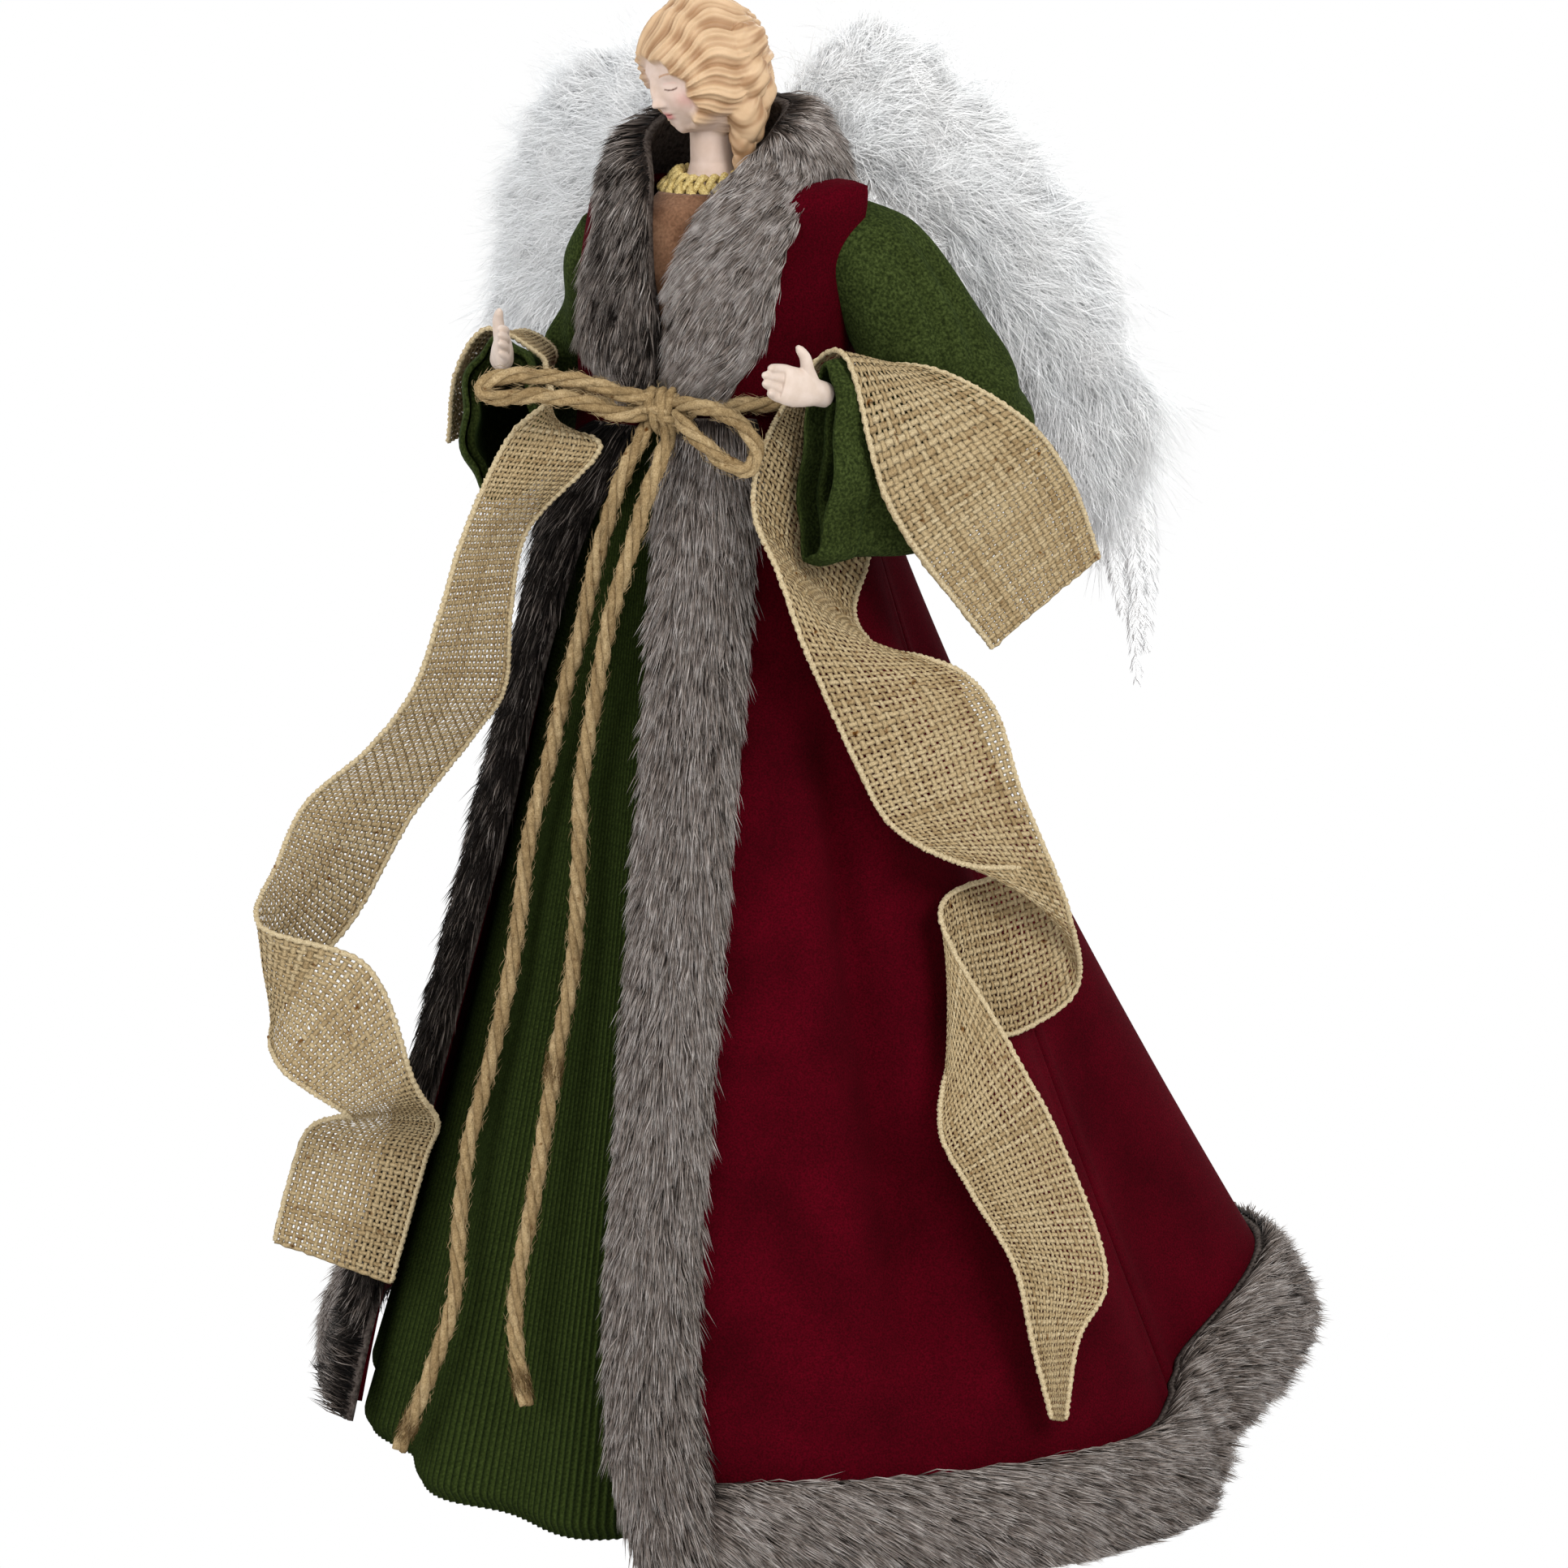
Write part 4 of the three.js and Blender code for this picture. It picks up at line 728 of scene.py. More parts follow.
def coat_point(degrees, level):
    """A point of the coat's outer face; level 0 is the shoulder, 1 the waist and 2 the hem."""
    degrees, level = np.broadcast_arrays(np.asarray(degrees, float), np.asarray(level, float))
    rise = np.clip(level / NECK_LEVEL, 0, 1)
    down = np.clip(level, 0, 1)
    width, depth = chest_size(degrees, down)
    width = mix(width, NECK_OPENING_HALF_WIDTH, rise)
    depth = mix(depth, NECK_OPENING_HALF_DEPTH, rise)
    cap = shoulder_cap(degrees, level)
    chest = oval(degrees, width, depth) + CAP_OUT * cap
    chest_height = mix(SHOULDER_HEIGHT, WAIST_HEIGHT, down) + NECK_OPENING_RISE * rise + CAP_UP * cap
    turned = degrees % TURN
    hem_radius = along(HEM_ROUND, turned, 1)
    hem_height = np.maximum(0, along(HEM_ROUND, turned, 2))
    corner = bell(turned, RIGHT_CORNER, RIGHT_CORNER_SPREAD)
    power = 1 + COAT_FLARE * np.sin(np.radians(turned) / 2) ** 2 + RIGHT_CORNER_FLARE * corner
    drop = np.clip(level - 1, 0, 1)
    skirt = mix(WAIST_RADIUS, hem_radius, drop**power)
    below = level > 1
    height = np.where(below, mix(WAIST_HEIGHT, hem_height, drop), chest_height)
    return around(np.where(below, skirt, chest), degrees, height)


def coat_normal(degrees, level):
    step = 0.01
    held = np.minimum(level, 2 - step)
    here = coat_point(degrees, held)
    across = coat_point(np.asarray(degrees) + 1, held) - here
    down = coat_point(degrees, held + step) - here
    return unit(np.cross(down, across))


def felt_fold(degrees, level):
    """How far the felt hangs in from the plain coat: soft folds that deepen towards the hem."""
    turned = np.asarray(degrees, float) % TURN
    free = smoothstep(turned, 30, 60) * (1 - smoothstep(turned, 236, 262))
    drop = np.clip(np.asarray(level, float) - 1, 0, 1)
    broad = np.sin(np.radians(9 * turned + 60))
    narrow = np.sin(np.radians(17 * turned - 40 * drop))
    folds = -FELT_FOLD * free * smoothstep(drop, 0.05, 0.5) * (0.5 + 0.32 * broad + 0.18 * narrow)
    hollow = bell(turned, DEEP_FOLD_ANGLE, DEEP_FOLD_SPREAD)
    hollow = hollow * smoothstep(drop, 0.2, 0.45) * (1 - smoothstep(drop, 0.7, 0.95))
    welt = sum(bell(turned, SIDE_SEAM + aside, WELT_SPREAD) for aside in (-WELT_ASIDE, WELT_ASIDE))
    return folds - DEEP_FOLD * hollow + WELT * welt * smoothstep(drop, 0.1, 0.4)


def off_coat(degrees, level, distance):
    """A point off the folded coat, never below the floor."""
    lift = np.asarray(distance + felt_fold(degrees, level))[..., None]
    point = coat_point(degrees, level) + coat_normal(degrees, level) * lift
    point[..., 2] = np.maximum(point[..., 2], 0)
    return point


def armhole(level, reach):
    return reach * np.maximum(0, 1 - np.maximum(level, 0) / ARMHOLE_LEVEL)


PANEL_LEVELS = np.concatenate([np.linspace(NECK_LEVEL, 1, 26)[:-1], np.linspace(1, FELT_HEM_LEVEL, 60)])


def coat_panel(name, columns, start, end):
    level = PANEL_LEVELS[:, None]
    share = np.linspace(0, 1, columns + 1)[None, :]
    degrees = mix(start(level), end(level), share)
    face = off_coat(degrees, level, 0.0)
    back = off_coat(degrees, level, -FELT)
    made = mesh_object(name + "_felt", *slab(face, back), FELT_CLOTH)
    dressed(made, "figure", "burgundy_felt", name)
    declared_sheet(face)


coat_panel(
    "coat_left_front", 96,
    lambda level: along(LEFT_EDGE, level),
    lambda level: SIDE_SEAM - SEAM_GAP - armhole(level, LEFT_ARMHOLE_FRONT),
)
coat_panel(
    "coat_back", 190,
    lambda level: SIDE_SEAM + SEAM_GAP + armhole(level, LEFT_ARMHOLE_BACK),
    lambda level: TURN - SIDE_SEAM - SEAM_GAP - armhole(level, RIGHT_ARMHOLE_BACK),
)
coat_panel(
    "coat_right_front", 30,
    lambda level: armhole(level, RIGHT_ARMHOLE_FRONT) - SIDE_SEAM + SEAM_GAP,
    lambda level: along(RIGHT_EDGE, level),
)


# Dress
DRESS_TOP = WAIST_HEIGHT - 1
DRESS_FOLDS = 13
DRESS_FOLD_DEPTH = 3.2
RIB_COUNT = 300
RIB_DEPTH = 0.5
STITCH_ROWS = 230
RIBBED_FROM = -80.0
RIBBED_TO = 34.0
RIB_EASE = 4.0
COLUMNS_IN_A_RIB = 4
PLAIN_COLUMNS = 110
HEM_ROLL = 4.0


def dress_radius(degrees, drop):
    flare = mix(DRESS_WAIST_RADIUS, DRESS_HEM_RADIUS, drop**DRESS_FLARE)
    fold = np.cos(np.radians(DRESS_FOLDS * degrees)) + 0.5 * np.cos(np.radians(5 * degrees + 70))
    return flare + DRESS_FOLD_DEPTH * drop * fold


def add_dress():
    ribs = RIB_COUNT * (RIBBED_TO - RIBBED_FROM) / TURN
    fine = np.linspace(RIBBED_FROM, RIBBED_TO, round(ribs * COLUMNS_IN_A_RIB), endpoint=False)
    plain = np.linspace(RIBBED_TO, RIBBED_FROM + TURN, PLAIN_COLUMNS, endpoint=False)
    degrees = np.concatenate([fine, plain])[None, :]
    drop = np.concatenate([np.linspace(0, 0.96, 62), np.linspace(0.965, 1, 8)])[:, None]
    ribbed = smoothstep(degrees, RIBBED_FROM, RIBBED_FROM + RIB_EASE)
    ribbed = ribbed * (1 - smoothstep(degrees, RIBBED_TO - RIB_EASE, RIBBED_TO))
    rib = RIB_DEPTH * np.cos(np.radians(RIB_COUNT * degrees)) * ribbed
    roll = HEM_ROLL * smoothstep(drop, 0.975, 1) ** 2
    height = mix(DRESS_TOP, DRESS_HEM_HEIGHT, drop)
    face = around(dress_radius(degrees, drop) + rib - roll, degrees, height)
    back = around(dress_radius(degrees, drop) - KNIT - roll, degrees, height)
    points, faces = slab(face, back, ring=True)
    cloth = np.stack(np.broadcast_arrays(degrees * RIB_COUNT / TURN, STITCH_ROWS * drop, 0 * drop), -1)
    both = np.tile(cloth.reshape(-1, 3), (2, 1))
    made = mesh_object("dress_skirt_knit", points, faces, RIB_KNIT, {"cloth": both})
    dressed(made, "figure", "green_knit", "dress_skirt")
    declared_sheet(face)


add_dress()


# Stuffed torso and suede bib
TORSO_INSET = FELT + SUEDE + 3 * CLEARANCE
TORSO_EASE = 0.6
TORSO_FOOT = [
    # radius and height of the rings that plug into the cone
    (22.5, 279), (17.6, 299), (19.5, 300.4), (31, 302.5),
]
SHOULDER_DRAW = 3.0


def chest_oval(level, inset, degrees):
    down = np.clip(level, 0, 1)
    width, depth = chest_size(degrees, down)
    radius = oval(degrees, width - inset - SHOULDER_DRAW * (1 - down), depth - inset)
    return around(radius, degrees, mix(SHOULDER_HEIGHT, WAIST_HEIGHT, down))


def add_torso():
    degrees = np.linspace(0, TURN, 48, endpoint=False)
    pinch = 0.5 * np.sin(np.radians(7 * degrees))
    low = [around(radius, degrees, height) for radius, height in TORSO_FOOT]
    inset = TORSO_INSET + TORSO_EASE + pinch
    chest = [chest_oval(level, inset, degrees) for level in np.linspace(0.95, 0.12, 14)]
    top = [around(21 - 2 * np.cos(np.radians(2 * degrees)), degrees, 353.5)]
    made = mesh_object("torso_padding", *lofted(np.array(low + chest + top)), STUFFING)
    dressed(made, "figure", "stuffing", "torso_form")


BUST_BOTTOM = SHOULDER_HEIGHT - 4 + CLEARANCE
BIB_RISE = [
    # distance from the axis, height above the shoulder plate's foot, and which way the cloth faces
    (15.8, 5.65, 0.62, 0.78), (18.2, 3.65, 0.62, 0.78), (20.6, 1.85, 0.9, 0.43),
]


def bib_face(offset):
    degrees = np.linspace(-44, 44, 41)[None, :]
    level = np.linspace(0.08, 0.86, 31)[:, None]
    wrinkle = 0.35 * np.sin(np.radians(6 * degrees) + 9 * level) * smoothstep(level, 0.15, 0.6)
    front = chest_oval(level, TORSO_INSET - CLEARANCE - offset - wrinkle, degrees)
    rise = [
        around(radius + offset * out, degrees, BUST_BOTTOM + high + offset * up)
        for radius, high, out, up in BIB_RISE
    ]
    knots = np.concatenate([*rise, front[:1], front[3:4]])
    top = np.stack([curve(knots[:, i], np.linspace(0, 3, 10)[:-1]) for i in range(knots.shape[1])], 1)
    return np.concatenate([top, front])


def add_bib():
    face, back = bib_face(SUEDE), bib_face(0.0)
    made = mesh_object("bodice_front_suede", *slab(face, back), SUEDE_CLOTH)
    dressed(made, "figure", "suede", "bodice_front")
    declared_sheet(face)


add_torso()
add_bib()


# Fur
HAIR_RADIUS = 0.17
HAIR_LIFT = 0.25
HAIR_STRAY = 0.13
HAIR_DROOP = np.array([0, 0, -0.12])
HAIR_FLOOR = 0.3
HAIR_TONE = 0.3
LOCK_SPACING = 2.0
LOCK_DRAW = 0.5
LOCK_TONE = 0.2


def crowned(edge, crown):
    """A pelt's height across its width, from -1 to 1, with a round crown."""
    return lambda across: edge + crown * np.sqrt(np.maximum(0, 1 - across * across))


def flat_at(height):
    return lambda across: height + 0.0 * across


PELT_HEIGHT = crowned(1.6, 3.4)
PELT_SEAT = flat_at(0.0)


def surface_axes(place, u, v):
    """Points of a surface with their normals and their unit directions along u and v."""
    step = 0.004
    here = place(u, v)
    along_u = (place(u + step, v) - place(u - step, v)) / (2 * step)
    along_v = (place(u, v + step) - place(u, v - step)) / (2 * step)
    return here, unit(np.cross(along_u, along_v)), unit(along_u), unit(along_v)


def locked(roots, tips, shade_of):
    """Tips drawn together into locks, and a tone for each hair round its trim's own."""
    span = roots.max(0) - roots.min(0)
    count = max(8, min(len(roots) // 8, int(np.prod(np.sort(span)[1:]) / LOCK_SPACING**2)))
    seeds = rng.choice(len(roots), count, replace=False)
    tree = kdtree.KDTree(count)
    for i, seed in enumerate(seeds):
        tree.insert(roots[seed], i)
    tree.balance()
    nearest = np.array([tree.find(point)[1] for point in roots])
    lock_tone = LOCK_TONE * rng.normal(size=count)[nearest]
    hair_tone = HAIR_TONE * rng.normal(size=len(roots))
    tone = np.clip(shade_of + lock_tone + hair_tone, 0, 1)
    return mix(tips, tips[seeds][nearest], LOCK_DRAW), tone


def out_from_axis(points):
    return unit(points * np.array([1, 1, 0]))


def fur_pile(name, place, flow, count, length, shade_of):
    """Hairs on a surface that lean along its flow, a share of u and of v, and lie close to it."""
    u, v = rng.random(count), rng.random(count)
    root, normal, side, down = surface_axes(place, u, v)
    inward = (normal * out_from_axis(root)).sum(1, keepdims=True) < 0
    normal = np.where(inward, -normal, normal)
    along_u, along_v = flow(u, v)
    lean = unit(along_u[:, None] * side + along_v[:, None] * down)
    stray = rng.normal(size=root.shape) * HAIR_STRAY
    long = length * rng.uniform(0.65, 1.15, count)[:, None]
    first = unit(lean + HAIR_LIFT * normal + stray)
    second = unit(lean + 0.25 * HAIR_LIFT * normal + 1.3 * stray + HAIR_DROOP)
    middle = root + first * long * SPIKE_MIDDLE
    tip = middle + second * long * (1 - SPIKE_MIDDLE)
    tip, tone = locked(root, tip, shade_of(u, v))
    middle = mix(middle, (root + tip) / 2 + normal * HAIR_LIFT * long * 0.12, 0.5)
    for row in (middle, tip):
        row[:, 2] = np.maximum(row[:, 2], HAIR_FLOOR)
    points, faces, share = spikes(root, middle, tip, HAIR_RADIUS * rng.uniform(0.7, 1.3, count))
    paint = {"along": share, "tone": np.repeat(tone, SPIKE_POINTS)}
    return dressed(mesh_object(name, points, faces, FUR_HAIR, paint), "figure", "fur")


def strip_place(knots, height):
    def place(u, v):
        level = mix(knots[0][0], 2, np.clip(v, 0, 1))
        degrees = along(knots, level)
        spine = coat_point(degrees, level)
        across = 2 * u - 1
        half = np.degrees(along(knots, level, 2) / 2 / np.hypot(spine[..., 0], spine[..., 1]))
        return off_coat(degrees + across * half, level, FUR_SEAT + height(across))
    return place


def grid_of(place, columns, rows):
    u, v = np.meshgrid(np.linspace(0, 1, columns + 1), np.linspace(0, 1, rows + 1))
    return place(u, v)


def fur_piece(node, face, back, columns, rows, piles):
    """The pelt of a fur trim, with the hair that stands on it."""
    grid = grid_of(face, columns, rows)
    made = mesh_object(node + "_pelt", *slab(grid, grid_of(back, columns, rows)), PELT)
    dressed(made, "figure", "fur", node)
    hairs = [fur_pile(f"{node}_{label}", *pile) for label, *pile in piles]
    declared_sheet(grid)


STRIP_HAIR_LENGTH = 12.0
HEM_HAIR_LENGTH = 13.0
PILE_HAIRS = 21000
THIN_PILE_HAIRS = 14000


def part_of(place, start, end):
    """A function of u and v, kept to a part of u."""
    return lambda u, v: place(mix(start, end, u), v)


def down_flow(u, v):
    return 0.22 * (2 * u - 1), np.ones_like(v)


def corner_flow(u, v):
    """Down the strip, and at its foot out along the curled corner of the coat."""
    foot = smoothstep(v, 0.86, 0.95)
    return mix(0.22 * (2 * u - 1), -1.0, foot), mix(1.0, 0.1, foot)


def add_fur_strip(node, knots, count, tone, flow):
    face = strip_place(knots, PELT_HEIGHT)
    back = strip_place(knots, PELT_SEAT)
    piles = [(label, face, flow, count, STRIP_HAIR_LENGTH, tone) for label in ("under", "over")]
    fur_piece(node, face, back, 10, 60, piles)


def strip_edge(knots, side):
    degrees = along(knots, HEM_TOP_LEVEL)
    spine = coat_point(degrees, HEM_TOP_LEVEL)
    half = along(knots, HEM_TOP_LEVEL, 2) / 2 + 2 * CLEARANCE
    return degrees + side * np.degrees(half / np.hypot(spine[0], spine[1]))


HEM_FROM = strip_edge(LEFT_FUR, 1)
HEM_TO = TURN + strip_edge(RIGHT_FUR, -1)


def hem_place(height):
    def place(u, v):
        degrees = mix(HEM_FROM, HEM_TO, u)
        length = np.linalg.norm(coat_point(degrees, 1.0) - coat_point(degrees, 2.0), axis=-1)
        level = 2 - FUR_HEM_WIDTH / length * (1 - v)
        return off_coat(degrees, np.minimum(level, 2), FUR_SEAT + height(2 * v - 1))
    return place


def left_tone(u, v):
    return 0.78 - 0.12 * np.sin(9 * v) * u


# Painted shade: the right front strip's fur is darker than the rest, and lightens towards the hem at its
# foot.
def right_tone_painted_shade(u, v):
    return -0.14 + 0.4 * smoothstep(v, 0.85, 1.0) + 0 * u


def hem_tone(u, v):
    return 0.7 + 0 * u


def hem_flow(u, v):
    return np.ones_like(u), 0.35 + 0.5 * v


def add_fur_hem():
    face = hem_place(PELT_HEIGHT)
    back = hem_place(PELT_SEAT)
    stretches = (("front", 0.0, 0.16), ("left", 0.16, 0.32), ("back", 0.32, 0.66), ("right", 0.66, 1.0))
    piles = [
        (label, part_of(face, start, end), hem_flow, PILE_HAIRS, HEM_HAIR_LENGTH, hem_tone)
        for label, start, end in stretches
    ]
    fur_piece("fur_hem", face, back, 120, 10, piles)


add_fur_strip("fur_front_left", LEFT_FUR, PILE_HAIRS, left_tone, down_flow)
add_fur_strip("fur_front_right", RIGHT_FUR, THIN_PILE_HAIRS, right_tone_painted_shade, corner_flow)
add_fur_hem()

COLLAR = [
    # angle, height and radius of the inner edge, then of the outer edge
    ((6, 313, 38), (30, 313, 38.5)), ((5, 326, 35), (42, 323, 38)), ((7, 343, 30), (51, 340, 36)),
    ((20, 357, 24.5), (60, 351, 34)), ((47, 368, 18), (80, 361, 32)), ((88, 378, 17.5), (104, 366, 33)),
    ((136, 384, 21.5), (138, 366, 33)), ((180, 385, 21.5), (180, 363, 30)),
    ((224, 383, 20), (220, 361, 29)), ((275, 376, 18.5), (256, 362, 28)),
    ((324, 365, 20), (299, 362, 28)), ((339, 354, 25.5), (311, 351, 31.5)),
    ((348, 341, 30.5), (309, 339, 34)), ((356, 326, 34.5), (317, 323, 37)),
    ((357, 313, 38), (338, 313, 38.5)),
]
COLLAR_EDGES = [
    np.array([around(radius, degrees, height) for degrees, height, radius in edge])
    for edge in zip(*COLLAR)
]
COLLAR_TURNS = len(COLLAR) - 1
COLLAR_STEP = 0.05


def collar_place(height):
    """A point of the collar: u from the lower left tip round the neck, v from its inner edge out."""
    def place(u, v):
        shape = np.shape(u)
        where = np.clip(np.ravel(u), 0, 1) * COLLAR_TURNS
        share = np.ravel(v)[:, None]
        inner, outer = (curve(edge, where) for edge in COLLAR_EDGES)
        ahead = np.clip(where + COLLAR_STEP, 0, COLLAR_TURNS)
        behind = np.clip(where - COLLAR_STEP, 0, COLLAR_TURNS)
        travel = sum(curve(edge, ahead) - curve(edge, behind) for edge in COLLAR_EDGES)
        out = unit(np.cross(travel, outer - inner))
        away = (inner + outer) * np.array([1, 1, 0])
        out = np.where((out * away).sum(1, keepdims=True) < 0, -out, out)
        point = mix(inner, outer, share) + out * height(2 * share - 1)
        return point.reshape(*shape, 3)
    return place


def collar_flow(u, v):
    """Hair runs down both lapels and over the back of the neck."""
    side = np.where(u < 0.5, -1.0, 1.0)
    lapel = smoothstep(np.abs(u - 0.5), 0.05, 0.3)
    inward = np.where(u < 0.5, -0.4, 0.2) * smoothstep(np.abs(0.5 - u), 0.08, 0.3)
    return side * mix(0.25, 1.0, lapel), mix(0.9, 0.0, lapel) + inward


def collar_tone_and_shade(u, v):
    """Pale on the left lapel, speckled behind the neck, and on the right one dark inside as painted shade
    and pale outside.
    """
    left = 0.8 - 0.3 * smoothstep(u, 0.3, 0.5)
    # Painted shade: the right lapel darkens towards its inside.
    right = mix(0.45, 0.26, smoothstep(u, 0.5, 0.7))
    right = right + 0.5 * smoothstep(v, 0.6, 0.9) * smoothstep(u, 0.6, 0.8)
    return np.where(u < 0.5, left, right)


def add_collar():
    face = collar_place(crowned(1.0, 4.0))
    back = collar_place(flat_at(-1.2))
    stretches = (("left_tip", 0.0, 0.2), ("left", 0.2, 0.5), ("right", 0.5, 0.8), ("right_tip", 0.8, 1.0))
    piles = []
    for label, *share in stretches:
        place, flow, tone = (part_of(made, *share) for made in (face, collar_flow, collar_tone_and_shade))
        piles.append((label, place, flow, PILE_HAIRS, STRIP_HAIR_LENGTH, tone))
    fur_piece("fur_collar", face, back, 110, 10, piles)


add_collar()


# Head
HEAD_HALF = np.array([13.4, 16.6, 17.6])
HEAD_CENTRE = np.array([-1.0, -4.0, 394.5])
HEAD_NOD = math.radians(18)
HEAD_YAW = math.radians(-38)
HAIR_DEPTH = 2.8
FACE_FORM = [
    # degrees to the side, degrees up, spread to the side, spread up, height
    (0, 4, 5, 9, 0.7), (0, -6, 4.2, 8, 1.4), (0, -14.5, 4.6, 4.2, 2.3), (6, -17, 3, 2.6, 0.7),
    (-6, -17, 3, 2.6, 0.7), (0, -26.5, 9, 2.6, 0.75), (0, -31.5, 7.5, 2.6, 0.7),
    (0, -29, 10, 1.1, -0.55), (0, -47, 13, 9, 1.7), (21, 2, 11, 7, -1.3), (-21, 2, 11, 7, -1.3),
    (21, 0, 7.5, 4.2, 0.85), (-21, 0, 7.5, 4.2, 0.85), (20, 12, 13, 4.5, 0.45),
    (-20, 12, 13, 4.5, 0.45), (34, -16, 16, 14, 0.7), (-34, -16, 16, 14, 0.7),
]
CURLS = [
    # place from the head's centre and half sizes
    (0, 8, -8, 13, 9.5, 13), (11, 3, -13, 4.5, 5.5, 9), (-11, 3, -13, 4.5, 5.5, 9),
    (12.5, 6, -4, 4.5, 6, 6.5), (-12.5, 6, -4, 4.5, 6, 6.5), (13, 8, 5, 3.6, 6, 5.5),
    (9.5, 0, -21, 3.2, 3.4, 6.5), (9, -2, -27, 2.1, 2.3, 4.5),
]


def face_angles(direction):
    """Degrees to the side and degrees up, from straight ahead."""
    aside = np.degrees(np.arctan2(direction[:, 0], -direction[:, 1]))
    return aside, np.degrees(np.arcsin(np.clip(direction[:, 2], -1, 1)))


def hair_share(direction):
    """1 on the hair, 0 on the face."""
    x, y, z = direction.T
    wave = 0.05 * np.sin(9 * np.arctan2(x, z + 0.16))
    off = np.hypot(x / 0.64, (z + 0.16) / 0.6) + wave
    behind = smoothstep(y, -0.35, 0.1)
    below = smoothstep(-z, 0.5, 0.9) * (1 - behind)
    return np.maximum(smoothstep(off, 0.93, 1.08), behind) * (1 - below)


def hair_wave(direction):
    """Moulded locks that sweep round the face in waves, from -1 in a groove to 1 on a ridge."""
    x, y, z = direction.T
    sweep = np.arccos(np.clip(-y, -1, 1))
    turn = np.arctan2(x, z)
    wave = np.sin(4.4 * sweep + 2 * turn)
    locks = np.sin(21 * turn + 2.7 * wave)
    fine = np.sin(64 * turn + 7.4 * wave)
    lumps = np.sin(8.5 * sweep - 5 * turn + 1.5 * wave)
    return 0.45 * locks + 0.25 * fine + 0.4 * lumps


def head_radius(direction):
    radius = 1 / np.linalg.norm(direction / HEAD_HALF, axis=1)
    hair = hair_share(direction)
    aside, up = face_angles(direction)
    for side, level, wide, tall, height in FACE_FORM:
        swell = np.exp(-(((aside - side) / wide) ** 2) - ((up - level) / tall) ** 2)
        radius = radius + (1 - hair) * height * swell
    return radius + HAIR_DEPTH * hair * (0.95 + 0.4 * hair_wave(direction))


def ball(rows, sides):
    """Unit directions of a sphere as rings, without its poles."""
    tilt = np.pi * (np.arange(rows) + 0.5) / rows
    angle = 2 * np.pi * np.arange(sides) / sides
    flat = np.sin(tilt)[:, None]
    return np.stack([flat * np.sin(angle), -flat * np.cos(angle), np.cos(tilt)[:, None] + 0 * angle], -1)


def head_turn():
    """The head's nod, then its turn to the side."""
    nod_cos, nod_sin = math.cos(HEAD_NOD), math.sin(HEAD_NOD)
    yaw_cos, yaw_sin = math.cos(HEAD_YAW), math.sin(HEAD_YAW)
    nod = np.array([[1, 0, 0], [0, nod_cos, -nod_sin], [0, nod_sin, nod_cos]])
    yaw = np.array([[yaw_cos, -yaw_sin, 0], [yaw_sin, yaw_cos, 0], [0, 0, 1]])
    return yaw @ nod


HEAD_TURN = head_turn()


def head_rings(rings):
    """Rings from the head's own frame, closed at their place."""
    return lofted((rings.reshape(-1, 3) @ HEAD_TURN.T + HEAD_CENTRE).reshape(rings.shape))


def curl_rings(x, y, z, width, depth, height):
    rings = ball(48, 64)
    curl = np.sin(9 * rings[..., 2] + 2.5 * np.sin(2 * np.arctan2(rings[..., 0], -rings[..., 1])))
    rings = rings * (1 + 0.055 * curl[..., None])
    return head_rings(rings * (width, depth, height) + (x, y, z))


BUST_PROFILE = [
    # radius and height above the shoulder plate's foot
    (20, 0), (20, 1.2), (18, 3.2), (15, 5), (12, 7), (9.2, 9.2), (7.4, 11.5), (6.5, 14.5), (6.3, 20),
    (6.3, 33),
]


def bust_rings():
    degrees = np.linspace(0, TURN, 64, endpoint=False)
    rings = []
    for radius, height in BUST_PROFILE:
        aside = -0.03 * max(0, height - 12)
        back = 0.05 * max(0, 20 - height) - 0.03 * max(0, height - 20)
        rings.append(around(radius, degrees, BUST_BOTTOM + height) + (aside, back, 0))
    return lofted(np.array(rings))


SKIN = linear(202, 181, 169)
HAND_SKIN = linear(198, 182, 171)
BLUSH = linear(208, 149, 144)
LIPS = linear(190, 110, 111)
MOUTH_LINE = linear(150, 70, 76)
LID_LINE = linear(96, 66, 56)
LID_CREASE = linear(206, 170, 160)
BROW = linear(168, 126, 92)
HAIR_PALE = linear(192, 163, 130)
# Painted shade in the grooves of the moulded hair
HAIR_GROOVE_SHADE = linear(152, 117, 84)
EYE_ASIDE = 21.0


def stroke(distance, width):
    return np.clip(1.5 - np.abs(distance) / width, 0, 1)


